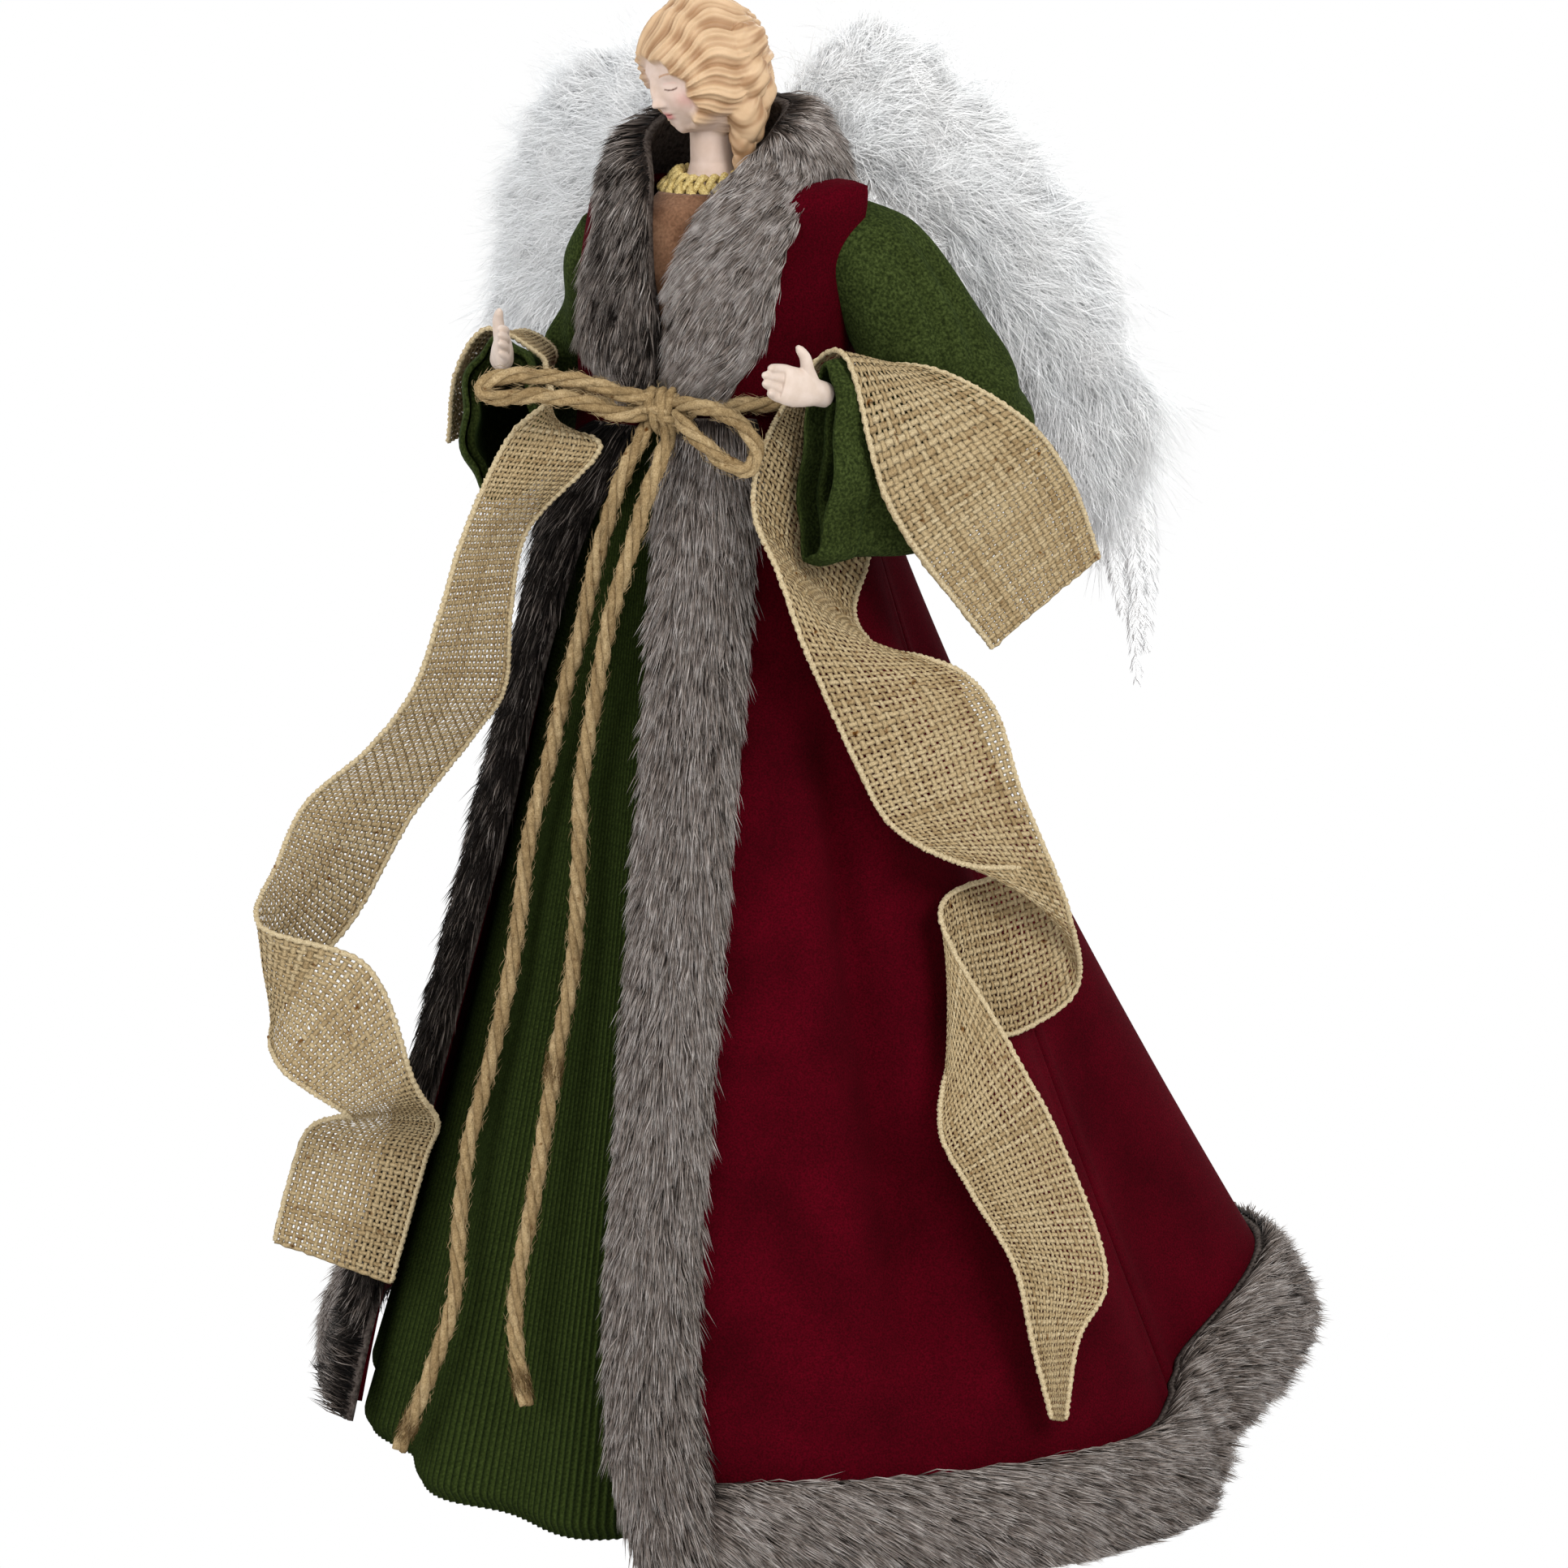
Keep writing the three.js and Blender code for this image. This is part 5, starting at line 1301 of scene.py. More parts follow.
def head_paint(points):
    """Painted colours of the casting, and painted shade in the hair's grooves, at points in the head's
    own frame.
    """
    away = np.linalg.norm(points, axis=1)
    direction = unit(points)
    aside, up = face_angles(direction)
    near = np.abs(aside)
    on_head = smoothstep(head_radius(direction) + 1.2 - away, 0, 0.6)
    hair = hair_share(direction) * on_head
    for x, y, z, width, depth, height in CURLS:
        reach = np.linalg.norm((points - (x, y, z)) / (width, depth, height), axis=1)
        hair = np.maximum(hair, 1 - smoothstep(reach, 1.06, 1.14))
    front = smoothstep(-direction[:, 1], 0.2, 0.4) * on_head
    colour = np.tile(SKIN, (len(points), 1))

    def wash(paint, share):
        nonlocal colour
        colour = mix(colour, paint, np.clip(share * front, 0, 1)[:, None])

    wash(BLUSH, 0.5 * np.exp(-(((near - 36) / 14) ** 2) - ((up + 14) / 9) ** 2))
    lip = np.exp(-((near / 8.5) ** 4)) * np.exp(-(((up + 29) / 4.2 + 0.02 * near) ** 4))
    wash(LIPS, 0.85 * lip)
    wash(MOUTH_LINE, 0.8 * stroke(up + 29 - 0.012 * near**2, 0.55) * (near < 9))
    off_eye = near - EYE_ASIDE
    wash(LID_LINE, stroke(up + 2.6 - 0.022 * off_eye**2, 0.75) * (np.abs(off_eye) < 8.2))
    wash(LID_CREASE, 0.5 * stroke(up - 4.5 + 0.015 * off_eye**2, 1.0) * (np.abs(off_eye) < 8))
    arch = up - 13.5 + 0.016 * (near - 24) ** 2
    wash(BROW, 0.85 * stroke(arch, 0.9) * (np.abs(near - 22) < 11))
    # Painted shade: the hair darkens from the ridges of its moulded locks into their grooves.
    ridge = smoothstep(hair_wave(direction), -0.9, 0.5)
    return mix(colour, mix(HAIR_GROOVE_SHADE, HAIR_PALE, ridge[:, None]), hair[:, None])


def add_head():
    rings = ball(190, 240)
    radius = head_radius(rings.reshape(-1, 3)).reshape(rings.shape[:2])
    parts = [head_rings(rings * radius[..., None]), bust_rings(), *(curl_rings(*row) for row in CURLS)]
    made = fused("porcelain_head_cast", parts, 0.3, BISQUE, smoothing=1)
    set_colour(made, "paint", head_paint((points_of(made) - HEAD_CENTRE) @ HEAD_TURN))
    dressed(made, "figure", "bisque", "porcelain_head")


add_head()


# Gold braid round the neck: three pairs of strands plaited on a ring
BRAID_RADIUS = 12.0
BRAID_HEIGHT = BUST_BOTTOM + 9.6
BRAID_CROSSINGS = 8
BRAID_STEPS = 420
BRAID_SLANT = 0.707
BRAID_REACH = 3.4
BRAID_DEPTH = 0.9
STRAND_ASIDE = 0.75
STRAND_RADIUS = 0.82
STRAND_SIDES = 8


def braid_strand(k, beside):
    angle = full_turn(BRAID_STEPS)
    phase = BRAID_CROSSINGS * angle + 2 * math.pi * k / 3
    up_slant = BRAID_SLANT * (BRAID_REACH * np.sin(phase) + beside * np.abs(np.cos(phase)))
    off_slant = BRAID_SLANT * (BRAID_DEPTH * np.sin(2 * phase))
    front = np.maximum(np.cos(angle), 0) ** 2
    radius = BRAID_RADIUS - up_slant + off_slant + 1.3 * front
    height = BRAID_HEIGHT + up_slant + off_slant - 1.6 * front
    path = np.stack([radius * np.sin(angle), -radius * np.cos(angle), height], -1)
    travel = unit(np.roll(path, -1, 0) - np.roll(path, 1, 0))
    side = unit(np.cross(travel, (0.0, 0.0, 1.0)))
    rim = full_turn(STRAND_SIDES)[None, :]
    spoke = spokes(rim, side[:, None], np.cross(side, travel)[:, None])
    grooved = 1.0 + 0.12 * np.sin(3 * rim + 140 * angle[:, None])
    points = (path[:, None] + STRAND_RADIUS * grooved[..., None] * spoke).reshape(-1, 3)
    quads = grid_faces(BRAID_STEPS, STRAND_SIDES, ring=True) % len(points)
    return points, facing_out(points, [quads])


def add_braid():
    strands = [braid_strand(k, beside) for k in range(3) for beside in (-STRAND_ASIDE, STRAND_ASIDE)]
    made = mesh_object("neck_braid_plait", *gathered(strands), GOLD)
    dressed(made, "figure", "gold_braid", "neck_braid")


add_braid()


# Jute cord
RIGHT_LOOP = [
    (1, -48, 309), (-5, -53.5, 311), (-14, -61, 315), (-25, -69, 317), (-32, -74, 317),
    (-36.5, -77, 313.8), (-32, -74.5, 311.4), (-24, -69.5, 311.8), (-13, -61.5, 309.6),
    (-6, -54, 305.6), (0, -48, 305.5),
]
LEFT_LOOP = [
    (7, -47, 308), (15, -51.5, 308.5), (25, -53.5, 307), (31, -53.5, 303), (33.5, -53, 297),
    (31.5, -54.5, 292.8), (27, -56, 293.8), (20, -56, 298.5), (13, -53.5, 303.2), (9, -48.5, 306.2),
]
RIGHT_TAIL = [
    (0, -47, 302.5), (-2, -52, 296), (-5, -54, 289), (-9, -54, 278), (-14, -54, 262), (-18, -54, 245),
    (-23, -53, 230), (-28, -54, 208), (-33, -57, 186), (-35, -61, 163), (-36, -66, 147),
    (-41, -72, 118), (-44, -77, 101), (-44, -84, 80), (-43, -91, 60), (-48, -96, 40), (-57, -99, 16),
]
LEFT_TAIL = [
    (6.5, -48, 302.5), (7, -54, 296), (4, -57, 286), (-1, -58, 270), (-8, -57, 250), (-13, -57, 226),
    (-16, -59, 204), (-15, -64, 182), (-14, -71, 155), (-16, -78, 133), (-17, -83, 116), (-19, -90, 89),
    (-21, -95, 72), (-20, -100, 55), (-15, -105, 38),
]
PLIES = 3
CORD_LAY = 24.0
CORD_STEP = 1.2
PLY_RADIUS = 1.22
PLY_OFFSET = 1.12
PLY_SIDES = 7
FIBRES_PER_MM = 4.0
FIBRE_RADIUS = 0.08
FIBRE_ROOT = 2.1
FIBRE_REACH = 3.5
TUFT_FIBRES = 200
# Places of the tufts, counted in the points of each tail
RIGHT_TAIL_TUFTS = [15.7]
LEFT_TAIL_TUFTS = [9.3, 13.65]


def cord_parts(path, fibres=FIBRES_PER_MM, tufts=()):
    """Twisted plies along a path, with loose fibres that gather at tufts, and a tone for each point."""
    travel, side, up = frames(path)
    length = run_length(path)
    parts, tones = [], []
    for k in range(PLIES):
        spoke = spokes(2 * math.pi * (k / PLIES + length / CORD_LAY), side, up)
        swell = 1 + 0.1 * np.sin(length / 3.1 + 2 * k) + 0.06 * rng.normal(size=len(path))
        ply = tube(path + PLY_OFFSET * spoke, PLY_RADIUS * swell, PLY_SIDES)
        parts.append(ply)
        tones.append(np.clip(0.5 + 0.16 * (k - 1) + 0.1 * rng.normal(size=len(ply[0])), 0, 1))
    loose = int(length[-1] * fibres)
    spots = [rng.integers(4, len(path) - 4, loose)]
    spots.extend(rng.integers(tuft - 2, tuft + 3, TUFT_FIBRES) for tuft in tufts)
    where = np.minimum(np.concatenate(spots), len(path) - 1)
    count = len(where)
    centre, ahead = path[where], travel[where]
    spoke = spokes(rng.uniform(0, 2 * math.pi, count), side[where], up[where])
    root = centre + spoke * FIBRE_ROOT
    lean = ahead * rng.choice([-1, 1], count)[:, None]
    long = rng.uniform(1.2, 4.6, count)[:, None]
    middle = root + long * (0.45 * lean + 0.2 * spoke)
    tip = middle + long * (0.4 * lean + 0.15 * rng.normal(size=root.shape) + 0.1 * spoke)
    reach = tip - centre
    aside = reach - ahead * (reach * ahead).sum(1, keepdims=True)
    tip = tip - aside * (1 - np.minimum(1, FIBRE_REACH / np.linalg.norm(aside, axis=1, keepdims=True)))
    points, faces, _ = spikes(root, middle, tip, FIBRE_RADIUS)
    parts.append((points, faces))
    tone = np.where(np.arange(count) < loose, rng.uniform(0.4, 1, count), 0.0)
    tones.append(np.repeat(tone, SPIKE_POINTS))
    return *gathered(parts), np.concatenate(tones)


def jute_piece(node, points, faces, tone):
    made = mesh_object(node + "_jute", points, faces, JUTE, {"tone": tone})
    return dressed(made, "figure", "jute", node)


def add_cord(node, points, tufts=()):
    places = even_places(points, CORD_STEP)
    path = curve(points, places)
    made = jute_piece(node, *cord_parts(path, tufts=np.searchsorted(places, tufts)))


BELT_RADIUS = WAIST_RADIUS + 2 * CLEARANCE + CORD_DIAMETER / 2
BELT_GAP = 10.0
BELT_STEPS = 220
KNOT_ANGLE = 4.0
KNOT_RADIUS = BELT_RADIUS + 5
KNOT_WRAPS = 2.3
KNOT_FIBRES_PER_MM = 2.0
KNOT_TUCK = [(-9, 1, -1), (-5, -2.5, 1), (0, -3.2, 0), (5, -2.5, -1.5), (9, 1, 1)]
KNOT_CROSSING = [(-7, 1.5, 3), (-2, -1.2, 3.2), (3, -1, -3.4), (8, 1.5, -3)]


def add_belt():
    degrees = np.linspace(KNOT_ANGLE + BELT_GAP, KNOT_ANGLE + TURN - BELT_GAP, BELT_STEPS)
    path = around(BELT_RADIUS, degrees, WAIST_HEIGHT + 0.8 * np.sin(np.radians(3 * degrees)))
    jute_piece("belt_wrap", *cord_parts(path))


def add_knot():
    """The bow's knot: the cord wrapped twice over its own crossing, with a tuck on either side."""
    centre = around(KNOT_RADIUS, KNOT_ANGLE, WAIST_HEIGHT)
    turn = np.linspace(0, KNOT_WRAPS * 2 * math.pi, 90)
    wrap = np.stack([mix(-2.6, 3.0, turn / turn[-1]), -3.4 * np.cos(turn), 4.4 * np.sin(turn)], -1)
    tuck = curve(centre + np.array(KNOT_TUCK), np.linspace(0, 4, 30))
    crossing = curve(centre + np.array(KNOT_CROSSING), np.linspace(0, 3, 26))
    made_of = [cord_parts(path, KNOT_FIBRES_PER_MM) for path in (centre + wrap, tuck, crossing)]
    points, faces = gathered([row[:2] for row in made_of])
    jute_piece("belt_knot", points, faces, np.concatenate([row[2] for row in made_of]))


add_cord("bow_loop_right", RIGHT_LOOP)
add_cord("bow_loop_left", LEFT_LOOP)
add_cord("cord_tail_right", RIGHT_TAIL, RIGHT_TAIL_TUFTS)
add_cord("cord_tail_left", LEFT_TAIL, LEFT_TAIL_TUFTS)
add_belt()
add_knot()


# Arms
# A sleeve's sections give its middle, half width and half height
ARMS = {
    "left": {
        "sections": [
            (33, 4, 350, 12, 12), (44, 5, 343, 17, 16), (60, 6, 320, 19, 18), (73, 4, 297, 18, 18),
            (66, -18, 290, 13, 24), (51, -40, 293, 8, 26.5),
        ],
        "wrist": (49, -42, 312),
        "fingertips": (38, -64, 319),
    },
    "right": {
        "sections": [
            (-31, 4, 349, 10, 10), (-36, 5.5, 339, 11, 12), (-42, 16, 320, 11, 12),
            (-54, 17, 301, 11.5, 14.5), (-58, -10, 293, 11, 20), (-48, -38, 299.5, 10.5, 21.5),
        ],
        "wrist": (-47, -40, 316.5),
        "fingertips": (-37, -60, 325),
    },
}
ELBOW_EASE = 0.2
SLEEVE_SIDES = 72
HAND_LENGTH = 25.0
CUFF_LENGTH = 6.0
CUFF_LAP = 5.0
CUFF_OUT = 1.0
CUFF_IN = 0.2
CUFF_BULGE = 1.2


def sleeve_rings(sections, places, inset, beyond=0.0, fold=0.0):
    """Rings across a sleeve at places counted in its sections."""
    table = np.asarray(sections, float)
    last = len(table) - 1
    places, inset, beyond = (np.asarray(a, float) for a in np.broadcast_arrays(places, inset, beyond))
    middle = curve(table[:, :3], np.minimum(places, last))
    ahead = curve(table[:, :3], np.clip(places + ELBOW_EASE * last, 0, last))
    behind = curve(table[:, :3], np.clip(places - ELBOW_EASE * last, 0, last))
    travel = unit(ahead - behind)
    side = unit(np.cross(travel, (0.0, 0.0, 1.0)))
    up = unit(np.cross(side, travel))
    knots = np.column_stack([np.arange(last + 1), table[:, 3], table[:, 4]])
    half_width = along(knots, places, 1) - inset
    half_height = along(knots, places, 2) - inset
    angle = full_turn(SLEEVE_SIDES)[None, :]
    across = (half_width[:, None] + fold) * np.cos(angle)
    upward = (half_height[:, None] + fold) * np.sin(angle)
    centre = middle + travel * beyond[:, None]
    return centre[:, None] + across[..., None] * side[:, None] + upward[..., None] * up[:, None]


def sleeve_fold(places, last):
    """Soft folds round the sleeve: creases at the elbow and flutes towards the mouth."""
    angle = full_turn(SLEEVE_SIDES)[None, :]
    place = places[:, None] / last
    elbow = bell(place, 0.55, 0.16)
    upper = bell(place, 0.38, 0.16)
    mouth = smoothstep(place, 0.6, 1.0)
    crease = bell(angle, 1.3, 0.2) + 0.8 * bell(angle, 0.75, 0.17)
    pleat = -3.4 * upper * crease - 1.0 * elbow * np.sin(6 * angle + 9 * place)
    return pleat + mouth * (-0.9 + 0.9 * np.sin(7 * angle + 4 * place))


def arm_cloth(arm, node, label, face, back, material, slot):
    """A ring of cloth round an arm."""
    made = mesh_object(f"{node}_{arm}_{label}", *slab(face, back, ring=True), material)
    dressed(made, f"{arm}_arm", slot, f"{node}_{arm}")
    declared_sheet(np.concatenate([face, face[:, :1]], 1))


def add_sleeve(name):
    sections = ARMS[name]["sections"]
    last = len(sections) - 1
    places = np.linspace(0.12, last, 64)
    fold = sleeve_fold(places, last)
    face, back = (sleeve_rings(sections, places, inset, fold=fold) for inset in (0.0, FLEECE))
    arm_cloth(name, "sleeve", "fleece", face, back, FLEECE_CLOTH, "green_fleece")


def add_cuff(name):
    """A band that starts on the outside of the sleeve's mouth and reaches a little past it."""
    sections = ARMS[name]["sections"]
    last = len(sections) - 1
    share = np.linspace(0, 1, 13)
    reach = mix(-CUFF_LAP, CUFF_LENGTH, share)
    places = last + np.minimum(reach, 0) / np.linalg.norm(np.subtract(sections[-1][:3], sections[-2][:3]))
    fold = sleeve_fold(places, last) + CUFF_BULGE * np.sin(math.pi * share)[:, None]
    beyond = np.maximum(reach, 0)
    face, back = (sleeve_rings(sections, places, inset, beyond, fold) for inset in (-CUFF_OUT, CUFF_IN))
    arm_cloth(name, "cuff", "rim", face, back, FINE_KNIT, "green_knit")


PALM = [
    # share of the hand's length, half thickness and half height
    (0, 3.3, 3.4), (0.15, 3.2, 3.6), (0.3, 3.1, 4.6), (0.45, 2.8, 5.3), (0.6, 2.4, 5.2),
    (0.68, 1.6, 4.6),
]
FINGERS = [
    # height of the finger across the hand, where it ends as a share of the hand, thickness
    (3.9, 0.93, 1.45), (1.35, 1.0, 1.5), (-1.25, 0.97, 1.45), (-3.7, 0.86, 1.3),
]
FINGER_TAPER = [(0, 1.05), (1, 1), (2.4, 0.85), (2.8, 0.65), (3, 0.25)]
KNUCKLE = 0.64
THUMB = [(0.24, 0.0, 2.2), (0.36, -0.6, 5.2), (0.45, -1.0, 8.2), (0.58, -0.6, 10.6)]
THUMB_THICKNESS = 1.85
THUMB_TAPER = [(0, 1.2), (1, 1), (2, 0.85), (2.7, 0.65), (3, 0.3)]


def add_hand(name, side_sign):
    wrist, tips = (np.array(ARMS[name][key], float) for key in ("wrist", "fingertips"))
    reach = unit(tips - wrist)
    side = unit(np.cross(reach, (0.0, 0.0, 1.0)))
    up = np.cross(side, reach)

    def at(share, aside, upward):
        return wrist + reach * share * HAND_LENGTH + side * aside * side_sign + up * upward

    def digit(route, thick, taper):
        where = np.linspace(0, 3, 22)
        return tube(curve([at(*row) for row in route], where), thick * np.interp(where, *zip(*taper)), 14)

    angle = full_turn(28)
    palm = [
        [at(share, thick * math.cos(a), tall * math.sin(a)) for a in angle]
        for share, thick, tall in PALM
    ]
    parts = [lofted(np.array(palm))]
    for level, end, thick in FINGERS:
        bend = mix(KNUCKLE, end, 0.55)
        route = [
            (0.46, 0, level * 0.9), (KNUCKLE, 0.5, level), (bend, 0.2, level * 0.9),
            (end, -1.3, level * 0.78),
        ]
        parts.append(digit(route, thick, FINGER_TAPER))
    parts.append(digit(THUMB, THUMB_THICKNESS, THUMB_TAPER))
    made = fused(f"hand_{name}_cast", parts, 0.24, BISQUE, smoothing=2)
    set_colour(made, "paint", np.tile(HAND_SKIN, (len(made.data.vertices), 1)))
    dressed(made, f"{name}_arm", "bisque", f"hand_{name}")


for arm, sign in (("left", 1), ("right", -1)):
    add_sleeve(arm)
    add_cuff(arm)
    add_hand(arm, sign)


# Burlap ribbons: front and back edge at stations from the end on the forearm to the hanging end
RIBBONS = {
    "left": [
        ((88, -16, 241), (109, 14, 262)), ((67, -42, 284), (103, 6, 284)),
        ((54, -40, 322), (93, -7, 303)), ((46, -34, 322), (66, -15, 317)),
        ((37, -33, 312), (46, -12, 311)), ((32, -43, 298), (51.5, -14.5, 266)),
        ((32.5, -53, 282), (52, -27.5, 249.5)), ((43, -61, 266), (62, -34, 242)),
        ((49, -61, 250), (73, -34, 241)), ((54, -57, 235), (84, -29, 236)),
        ((62, -53, 215), (92, -26, 226)), ((72, -52, 198), (99, -24, 204)),
        ((89, -41, 186), (111, -14, 166)), ((104, -14, 180), (110, -4, 142)),
        ((90, -16, 176), (100, -20, 134)), ((82, -40, 172), (90, -48, 136)),
        ((103, -42, 136), (90, -62, 117)), ((117, -40, 110), (99, -66, 104)),
        ((132, -44, 72), (113, -66, 82)), ((128, -55, 60), (118, -66, 62)),
        ((127, -63, 39), (124, -66, 40)),
    ],
    "right": [
        ((-71, -25, 290), (-73, 6, 291)), ((-66, -29, 311), (-69, 2, 310)),
        ((-55, -32, 323.5), (-59, -2, 319)), ((-38, -34, 317), (-46, -7, 315)),
        ((-33, -41, 314), (-42, -21, 308)), ((-28, -51, 308), (-31, -40, 299)),
        ((-36, -58, 299), (-13, -51, 296)), ((-45, -70, 273), (-37, -48, 270)),
        ((-49, -78, 252), (-39, -54, 250)), ((-58, -77, 230), (-43, -51, 226)),
        ((-73, -75, 212), (-53, -50, 212)), ((-91, -80, 195), (-71, -54, 188)),
        ((-96, -87, 180), (-85, -62, 160)), ((-97, -98, 166), (-98, -89, 134)),
        ((-65, -96, 156), (-90, -101, 126)), ((-56, -86, 120), (-75, -90, 110)),
        ((-58, -68, 102), (-84, -76, 104)), ((-64, -63, 91), (-97, -72, 97)),
        ((-69, -67, 70), (-103, -75, 79)), ((-72, -72, 54), (-106, -78, 64)),
    ],
}
FLAP_STATIONS = {"left": 4, "right": 2}
FLAP_SHARE = 0.17
FLAP_EASE = 0.03
FLAP_COVER = 0.44
YARN_COVER = 0.36
YARN_PITCH = 1.75
YARNS_ACROSS = 22
YARN_HALF_THICKNESS = 0.12
YARN_TONE = 0.17
CRIMP = 0.24
EDGE_RADIUS = 0.75
EDGE_TONE = 0.95


def yarn_tubes(centres, wide, normal, width):
    """Flattened four-sided yarns along the rows of a grid of crossings."""
    aside = wide * width[..., None]
    through = normal * YARN_HALF_THICKNESS
    corners = np.stack([centres + aside, centres + through, centres - aside, centres - through], 2)
    return [lofted(yarn) for yarn in corners]


def evened(edge, places, last):
    """Places along an edge, spread evenly by length up to a station and left as they are past it."""
    fine = np.linspace(0, last, 60 * last)
    length = run_length(curve(edge, fine))
    spread = np.interp(places / last, length / length[-1], fine)
    return np.where(places < last, spread, places)


def ribbon_grid(name):
    stations = np.array(RIBBONS[name], float)
    flap = FLAP_STATIONS[name]
    middle = stations.mean(1)
    places = even_places(middle, YARN_PITCH)
    front, back = (curve(stations[:, side], evened(stations[:, side], places, flap)) for side in (0, 1))
    across = np.linspace(0, 1, YARNS_ACROSS)[None, :, None]
    grid = mix(front[:, None], back[:, None], across)
    length = run_length(grid.mean(1))[:, None]
    ripple = 0.5 * np.sin(length / 17 + 3 * across[..., 0]) * np.sin(math.pi * across[..., 0])
    along_it = unit(np.gradient(grid, axis=0))
    across_it = unit(np.gradient(grid, axis=1))
    normal = unit(np.cross(along_it, across_it))
    return grid + normal * ripple[..., None], along_it, across_it, normal


def add_ribbon(name):
    grid, along_it, across_it, normal = ribbon_grid(name)
    rows, columns = grid.shape[:2]
    odd = (np.arange(rows)[:, None] + np.arange(columns)) % 2
    over = np.where(odd, 1.0, -1.0)[..., None] * CRIMP * normal
    wander = 0.1 * rng.normal(size=(rows, columns, 1))
    thin = 0.09 * rng.normal(size=(rows, columns))
    apart = np.linalg.norm(np.gradient(grid, axis=1), axis=2)
    ahead = np.linalg.norm(np.gradient(grid, axis=0), axis=2)
    share = np.arange(rows)[:, None] / rows
    past_flap = smoothstep(share, FLAP_SHARE - FLAP_EASE, FLAP_SHARE + FLAP_EASE)
    cover = mix(FLAP_COVER, YARN_COVER, past_flap)
    warp_width = cover * apart * (1 + 0.1 * rng.normal(size=(1, columns)) + thin)
    weft_width = cover * ahead * (1 + 0.1 * rng.normal(size=(rows, 1)) + thin[::-1])
    warp_grids = (grid + over + across_it * wander, across_it, normal)
    warp = yarn_tubes(*(some.transpose(1, 0, 2) for some in warp_grids), warp_width.T)
    weft = yarn_tubes(grid - over + along_it * wander, along_it, normal, weft_width)
    yarns = warp + weft
    tones = [np.full(len(points), np.clip(0.5 + YARN_TONE * rng.normal(), 0, 1)) for points, _ in yarns]
    made = mesh_object(f"ribbon_{name}_burlap", *gathered(yarns), BURLAP, {"tone": np.concatenate(tones)})
    dressed(made, f"{name}_arm", "burlap", f"ribbon_{name}")
    add_edging(name, grid)


def add_edging(name, grid):
    """Pale overlocked stitches along both edges."""
    edges = []
    for side in (0, -1):
        path = curve(grid[:, side], np.arange(0, len(grid) - 0.99, 0.25))
        stitch = EDGE_RADIUS * (1 + 0.22 * np.sin(0.5 * math.pi * np.arange(len(path))))
        edges.append(tube(path + 0.08 * rng.normal(size=path.shape), stitch, 6))
    points, faces = gathered(edges)
    tone = np.full(len(points), EDGE_TONE)
    made = mesh_object(f"ribbon_{name}_edging", points, faces, BURLAP, {"tone": tone})
    dressed(made, f"{name}_arm", "burlap")


for arm in ("left", "right"):
    add_ribbon(arm)


# Wings, each in its own frame: out from the pivot, depth towards the back, height
WING_ROOT_OFFSET = 10.0
WING_PIVOT_DEPTH = 40.5
WING_SWEEP = math.radians(25)
WING_CENTRE = np.array([50.0, 345.0])
WING_BEND = np.array([30.0, 288.0])
WING_LOWER = [
    (100, 303), (100, 295), (97, 285), (95, 272), (90, 262), (84, 272), (76, 282), (68, 293), (60, 303),
    (53, 315), (46, 327), (41, 337), (36, 345), (28, 352), (18, 358), (9, 362),
]
WING_OUTLINES = {
    "left": [
        (-6, 380), (-3, 391), (5, 400), (20, 405), (30, 399), (41, 389), (52, 382), (62, 370),
        (75, 357), (83, 345), (88, 333), (92, 315),
        *WING_LOWER,
    ],
    "right": [
        (-6, 378), (-2, 387), (9, 392), (22, 396), (34, 397), (50, 394), (67, 386), (80, 373),
        (89, 359), (95, 344), (97, 331), (98, 316),
        *WING_LOWER,
    ],
}
QUILLS = [
    # root distance and height, tip distance and height
    (91, 292, 94, 254), (92, 294, 97, 231), (94, 294, 101, 211), (96, 294, 104, 221),
    (98, 292, 105, 237), (88, 292, 88, 246),
]
DOWN_FRONT = 11.0
DOWN_BACK = 1.2
DOWN_OUT = 6.0
BEHIND_SHARE = 0.2
BARB_RADIUS = 0.11
BARB_DROOP = np.array([0, 0, -0.25])
TUFT_STRAY = 0.3
TUFT_CURL = 0.4
QUILL_DEPTH = 2.4
QUILL_BARBS = 150
QUILL_BARB_RADIUS = 0.22
PAD_RINGS = [
    # share of the outline and share of the pad's depth
    (0.1, 1), (0.35, 0.95), (0.6, 0.85), (0.78, 0.65), (0.88, 0.4), (0.9, 0.15), (0.88, -0.1),
    (0.78, -0.1), (0.6, -0.1), (0.35, -0.1), (0.1, -0.1),
]
PAD_DEPTH = 0.62
DOWN_LAYERS = [
    # label, tufts, barbs in a tuft, shortest and longest barb, spread
    ("barbs", 11000, 1, 9, 19, 0.1), ("plumes", 420, 40, 15, 29, 0.2),
]


def wing_placed(points, side):
    """Points from a wing's own frame to their place."""
    x = points[:, 0] * side
    y = points[:, 1]
    turn = side * WING_SWEEP
    placed_x = side * WING_ROOT_OFFSET + x * math.cos(turn) - y * math.sin(turn)
    placed_y = WING_PIVOT_DEPTH + x * math.sin(turn) + y * math.cos(turn)
    return np.stack([placed_x, placed_y, points[:, 2]], -1)


def wing_outline(name, count):
    outline = np.array(WING_OUTLINES[name], float)
    looped = np.vstack([outline, outline[:1]])
    flat = np.column_stack([looped, np.zeros(len(looped))])
    return curve(flat, np.linspace(0, len(outline), count, endpoint=False))[:, :2]


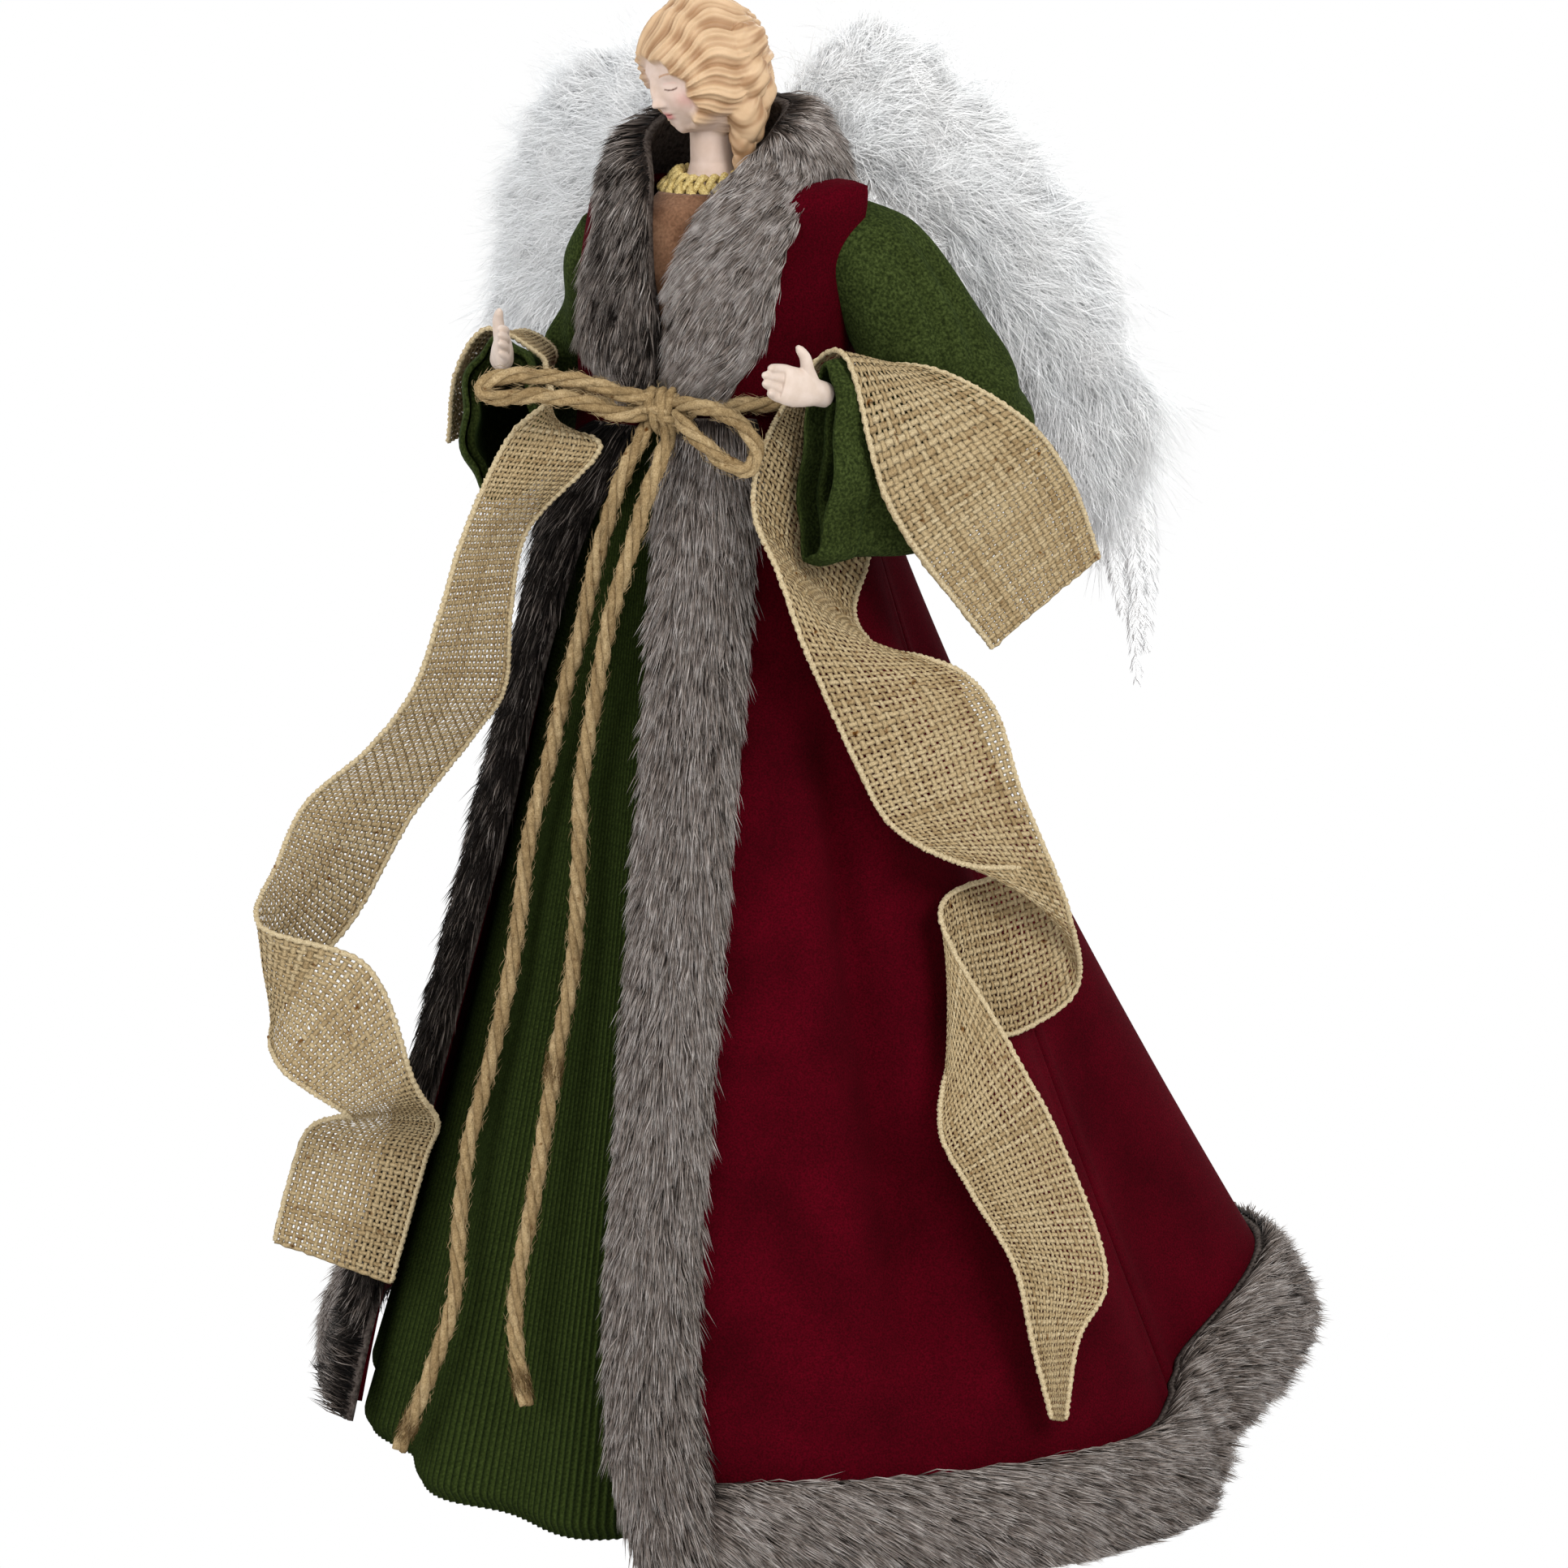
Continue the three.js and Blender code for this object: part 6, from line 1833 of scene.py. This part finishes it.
def wing_pad(name, side):
    """The mass of down that the fine barbs stand on."""
    outline = wing_outline(name, 120) - WING_CENTRE
    rings = []
    for share, depth in PAD_RINGS:
        flat = WING_CENTRE + share * outline
        lump = 0.8 * np.sin(0.21 * flat[:, 0] + 0.13 * flat[:, 1]) * max(depth, 0)
        deep = -DOWN_FRONT * PAD_DEPTH * depth + lump
        rings.append(wing_placed(np.column_stack([flat[:, 0], deep, flat[:, 1]]), side))
    return lofted(np.array(rings))


def wing_barbs(name, side, tufts, barbs, shortest, longest, spread):
    """Barbs of down, gathered in tufts, that flow from the root to the tip and out over the edges."""
    outline = wing_outline(name, 400)
    spoke = outline - WING_CENTRE
    swept = np.abs(np.cross(spoke, np.roll(spoke, -1, 0)))
    at = np.repeat(rng.choice(len(outline), tufts, p=swept / swept.sum()), barbs)
    share = np.repeat(np.sqrt(rng.random(tufts)) * 0.97, barbs)
    count = len(at)
    flat = WING_CENTRE + share[:, None] * spoke[at]
    radial = flat - WING_BEND
    sweep = unit(np.column_stack([radial[:, 1], -radial[:, 0]]))
    outward = unit(spoke[at])
    low_edge = smoothstep(-outward[:, 1] - 0.3 * outward[:, 0], -0.1, 0.5)
    push = share**3 * mix(0.35, 1.1, low_edge)
    inner = smoothstep(-outward[:, 1] - 0.7 * outward[:, 0], 0.1, 0.6) * share**2
    flow = mix(sweep, np.array([-0.5, -0.87]), 0.75 * inner[:, None])
    astray = np.repeat(TUFT_STRAY * rng.normal(size=(tufts, 2)), barbs, 0)
    lean = unit(0.75 * flow + push[:, None] * outward + astray + spread * rng.normal(size=flat.shape))
    behind = np.repeat(rng.random(tufts) < BEHIND_SHARE, barbs)
    flat = flat + 0.9 * rng.normal(size=flat.shape)
    dome = np.sqrt(np.maximum(0, 1 - share**2))
    depth = np.where(behind, DOWN_BACK, -DOWN_FRONT * (0.1 + 0.6 * dome))
    stand = np.where(behind, 0.12, -0.5) * (0.4 + 0.6 * dome) + 0.12 * rng.normal(size=count)
    long = rng.uniform(shortest, longest, count) * mix(1.0, mix(0.62, 1.15, low_edge), share**2)
    root = np.column_stack([flat[:, 0], depth, flat[:, 1]])
    first = unit(np.column_stack([lean[:, 0], stand, lean[:, 1]]))
    curl = np.repeat(TUFT_CURL * rng.normal(size=(tufts, 3)), barbs, 0)
    bent = first * np.array([1, 0.3, 1]) + BARB_DROOP + curl
    second = unit(bent + spread * rng.normal(size=root.shape))
    middle = root + first * (long * 0.5)[:, None]
    tip = middle + second * (long * 0.5)[:, None]
    limit = np.where(behind, 2.6, 1.5)
    for row in (middle, tip):
        row[:, 1] = np.clip(row[:, 1], -DOWN_FRONT - DOWN_OUT, limit)
    places = [wing_placed(row, side) for row in (root, middle, tip)]
    points, faces, _ = spikes(*places, BARB_RADIUS * rng.uniform(0.7, 1.2, count))
    return points, faces


def feather(root, tip, side):
    """A slim feather: a shaft with barbs on both sides, in the wing's own frame."""
    start, end = (np.array([out, QUILL_DEPTH, height]) for out, height in (root, tip))
    run = end - start
    across = unit(np.array([-run[2], 0.0, run[0]]))
    bow = 2.0 * rng.normal()
    share = np.linspace(0, 1, 24)
    path = start + run * share[:, None] + across * (bow * np.sin(math.pi * share))[:, None]
    parts = [tube(wing_placed(path, side), np.interp(share, [0, 1], [0.42, 0.1]), 5)]
    count = QUILL_BARBS
    where = rng.uniform(0.05, 1, count)
    base = np.column_stack([np.interp(where, share, path[:, k]) for k in range(3)])
    hand = rng.choice([-1.0, 1.0], count)[:, None]
    wide = (4.2 * np.sin(math.pi * np.clip(0.15 + 0.85 * where, 0, 1)) ** 0.6 + 0.8)[:, None]
    lean = unit(run)
    middle = base + hand * across * wide * 0.45 + lean * wide * 0.7
    middle[:, 1] += 0.25 * rng.normal(size=count)
    end_point = base + hand * across * wide * 0.75 + lean * wide * 1.7 + 0.3 * rng.normal(size=base.shape)
    places = [wing_placed(row, side) for row in (base, middle, end_point)]
    points, faces, _ = spikes(*places, QUILL_BARB_RADIUS)
    return [*parts, (points, faces)]


def add_wing(name, side):
    body = f"{name}_wing"
    pad = mesh_object(f"wing_fluff_{name}_down", *wing_pad(name, side), FEATHER)
    dressed(pad, body, "feather", f"wing_fluff_{name}")
    for label, *down in DOWN_LAYERS:
        points, faces = wing_barbs(name, side, *down)
        dressed(mesh_object(f"wing_fluff_{name}_{label}", points, faces, FEATHER), body, "feather")
    parts = []
    for rooted, height, out, low in QUILLS:
        parts.extend(feather((rooted, height), (out, low), side))
        shorter = (out - 3 + 2 * rng.normal(), low + 9 + 3 * rng.normal())
        parts.extend(feather((rooted - 1.5, height), shorter, side))
    quills = mesh_object(f"wing_quills_{name}_feathers", *gathered(parts), FEATHER)
    dressed(quills, body, "feather", f"wing_quills_{name}")


for wing, sign in (("left", 1), ("right", -1)):
    add_wing(wing, sign)


# Finishes of the pieces that stay as the model has them
def refinish(node, material):
    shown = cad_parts[node]
    shown.data.materials.clear()
    shown.data.materials.append(material)


refinish("body_cone", KRAFT_CARD)
refinish("wing_socket", KRAFT_CARD)
for arm in ("left", "right"):
    refinish(f"arm_wire_{arm}", WIRE)
    refinish(f"wing_stem_{arm}", WIRE)
    refinish(f"wing_backing_{arm}", WHITE_CARD)
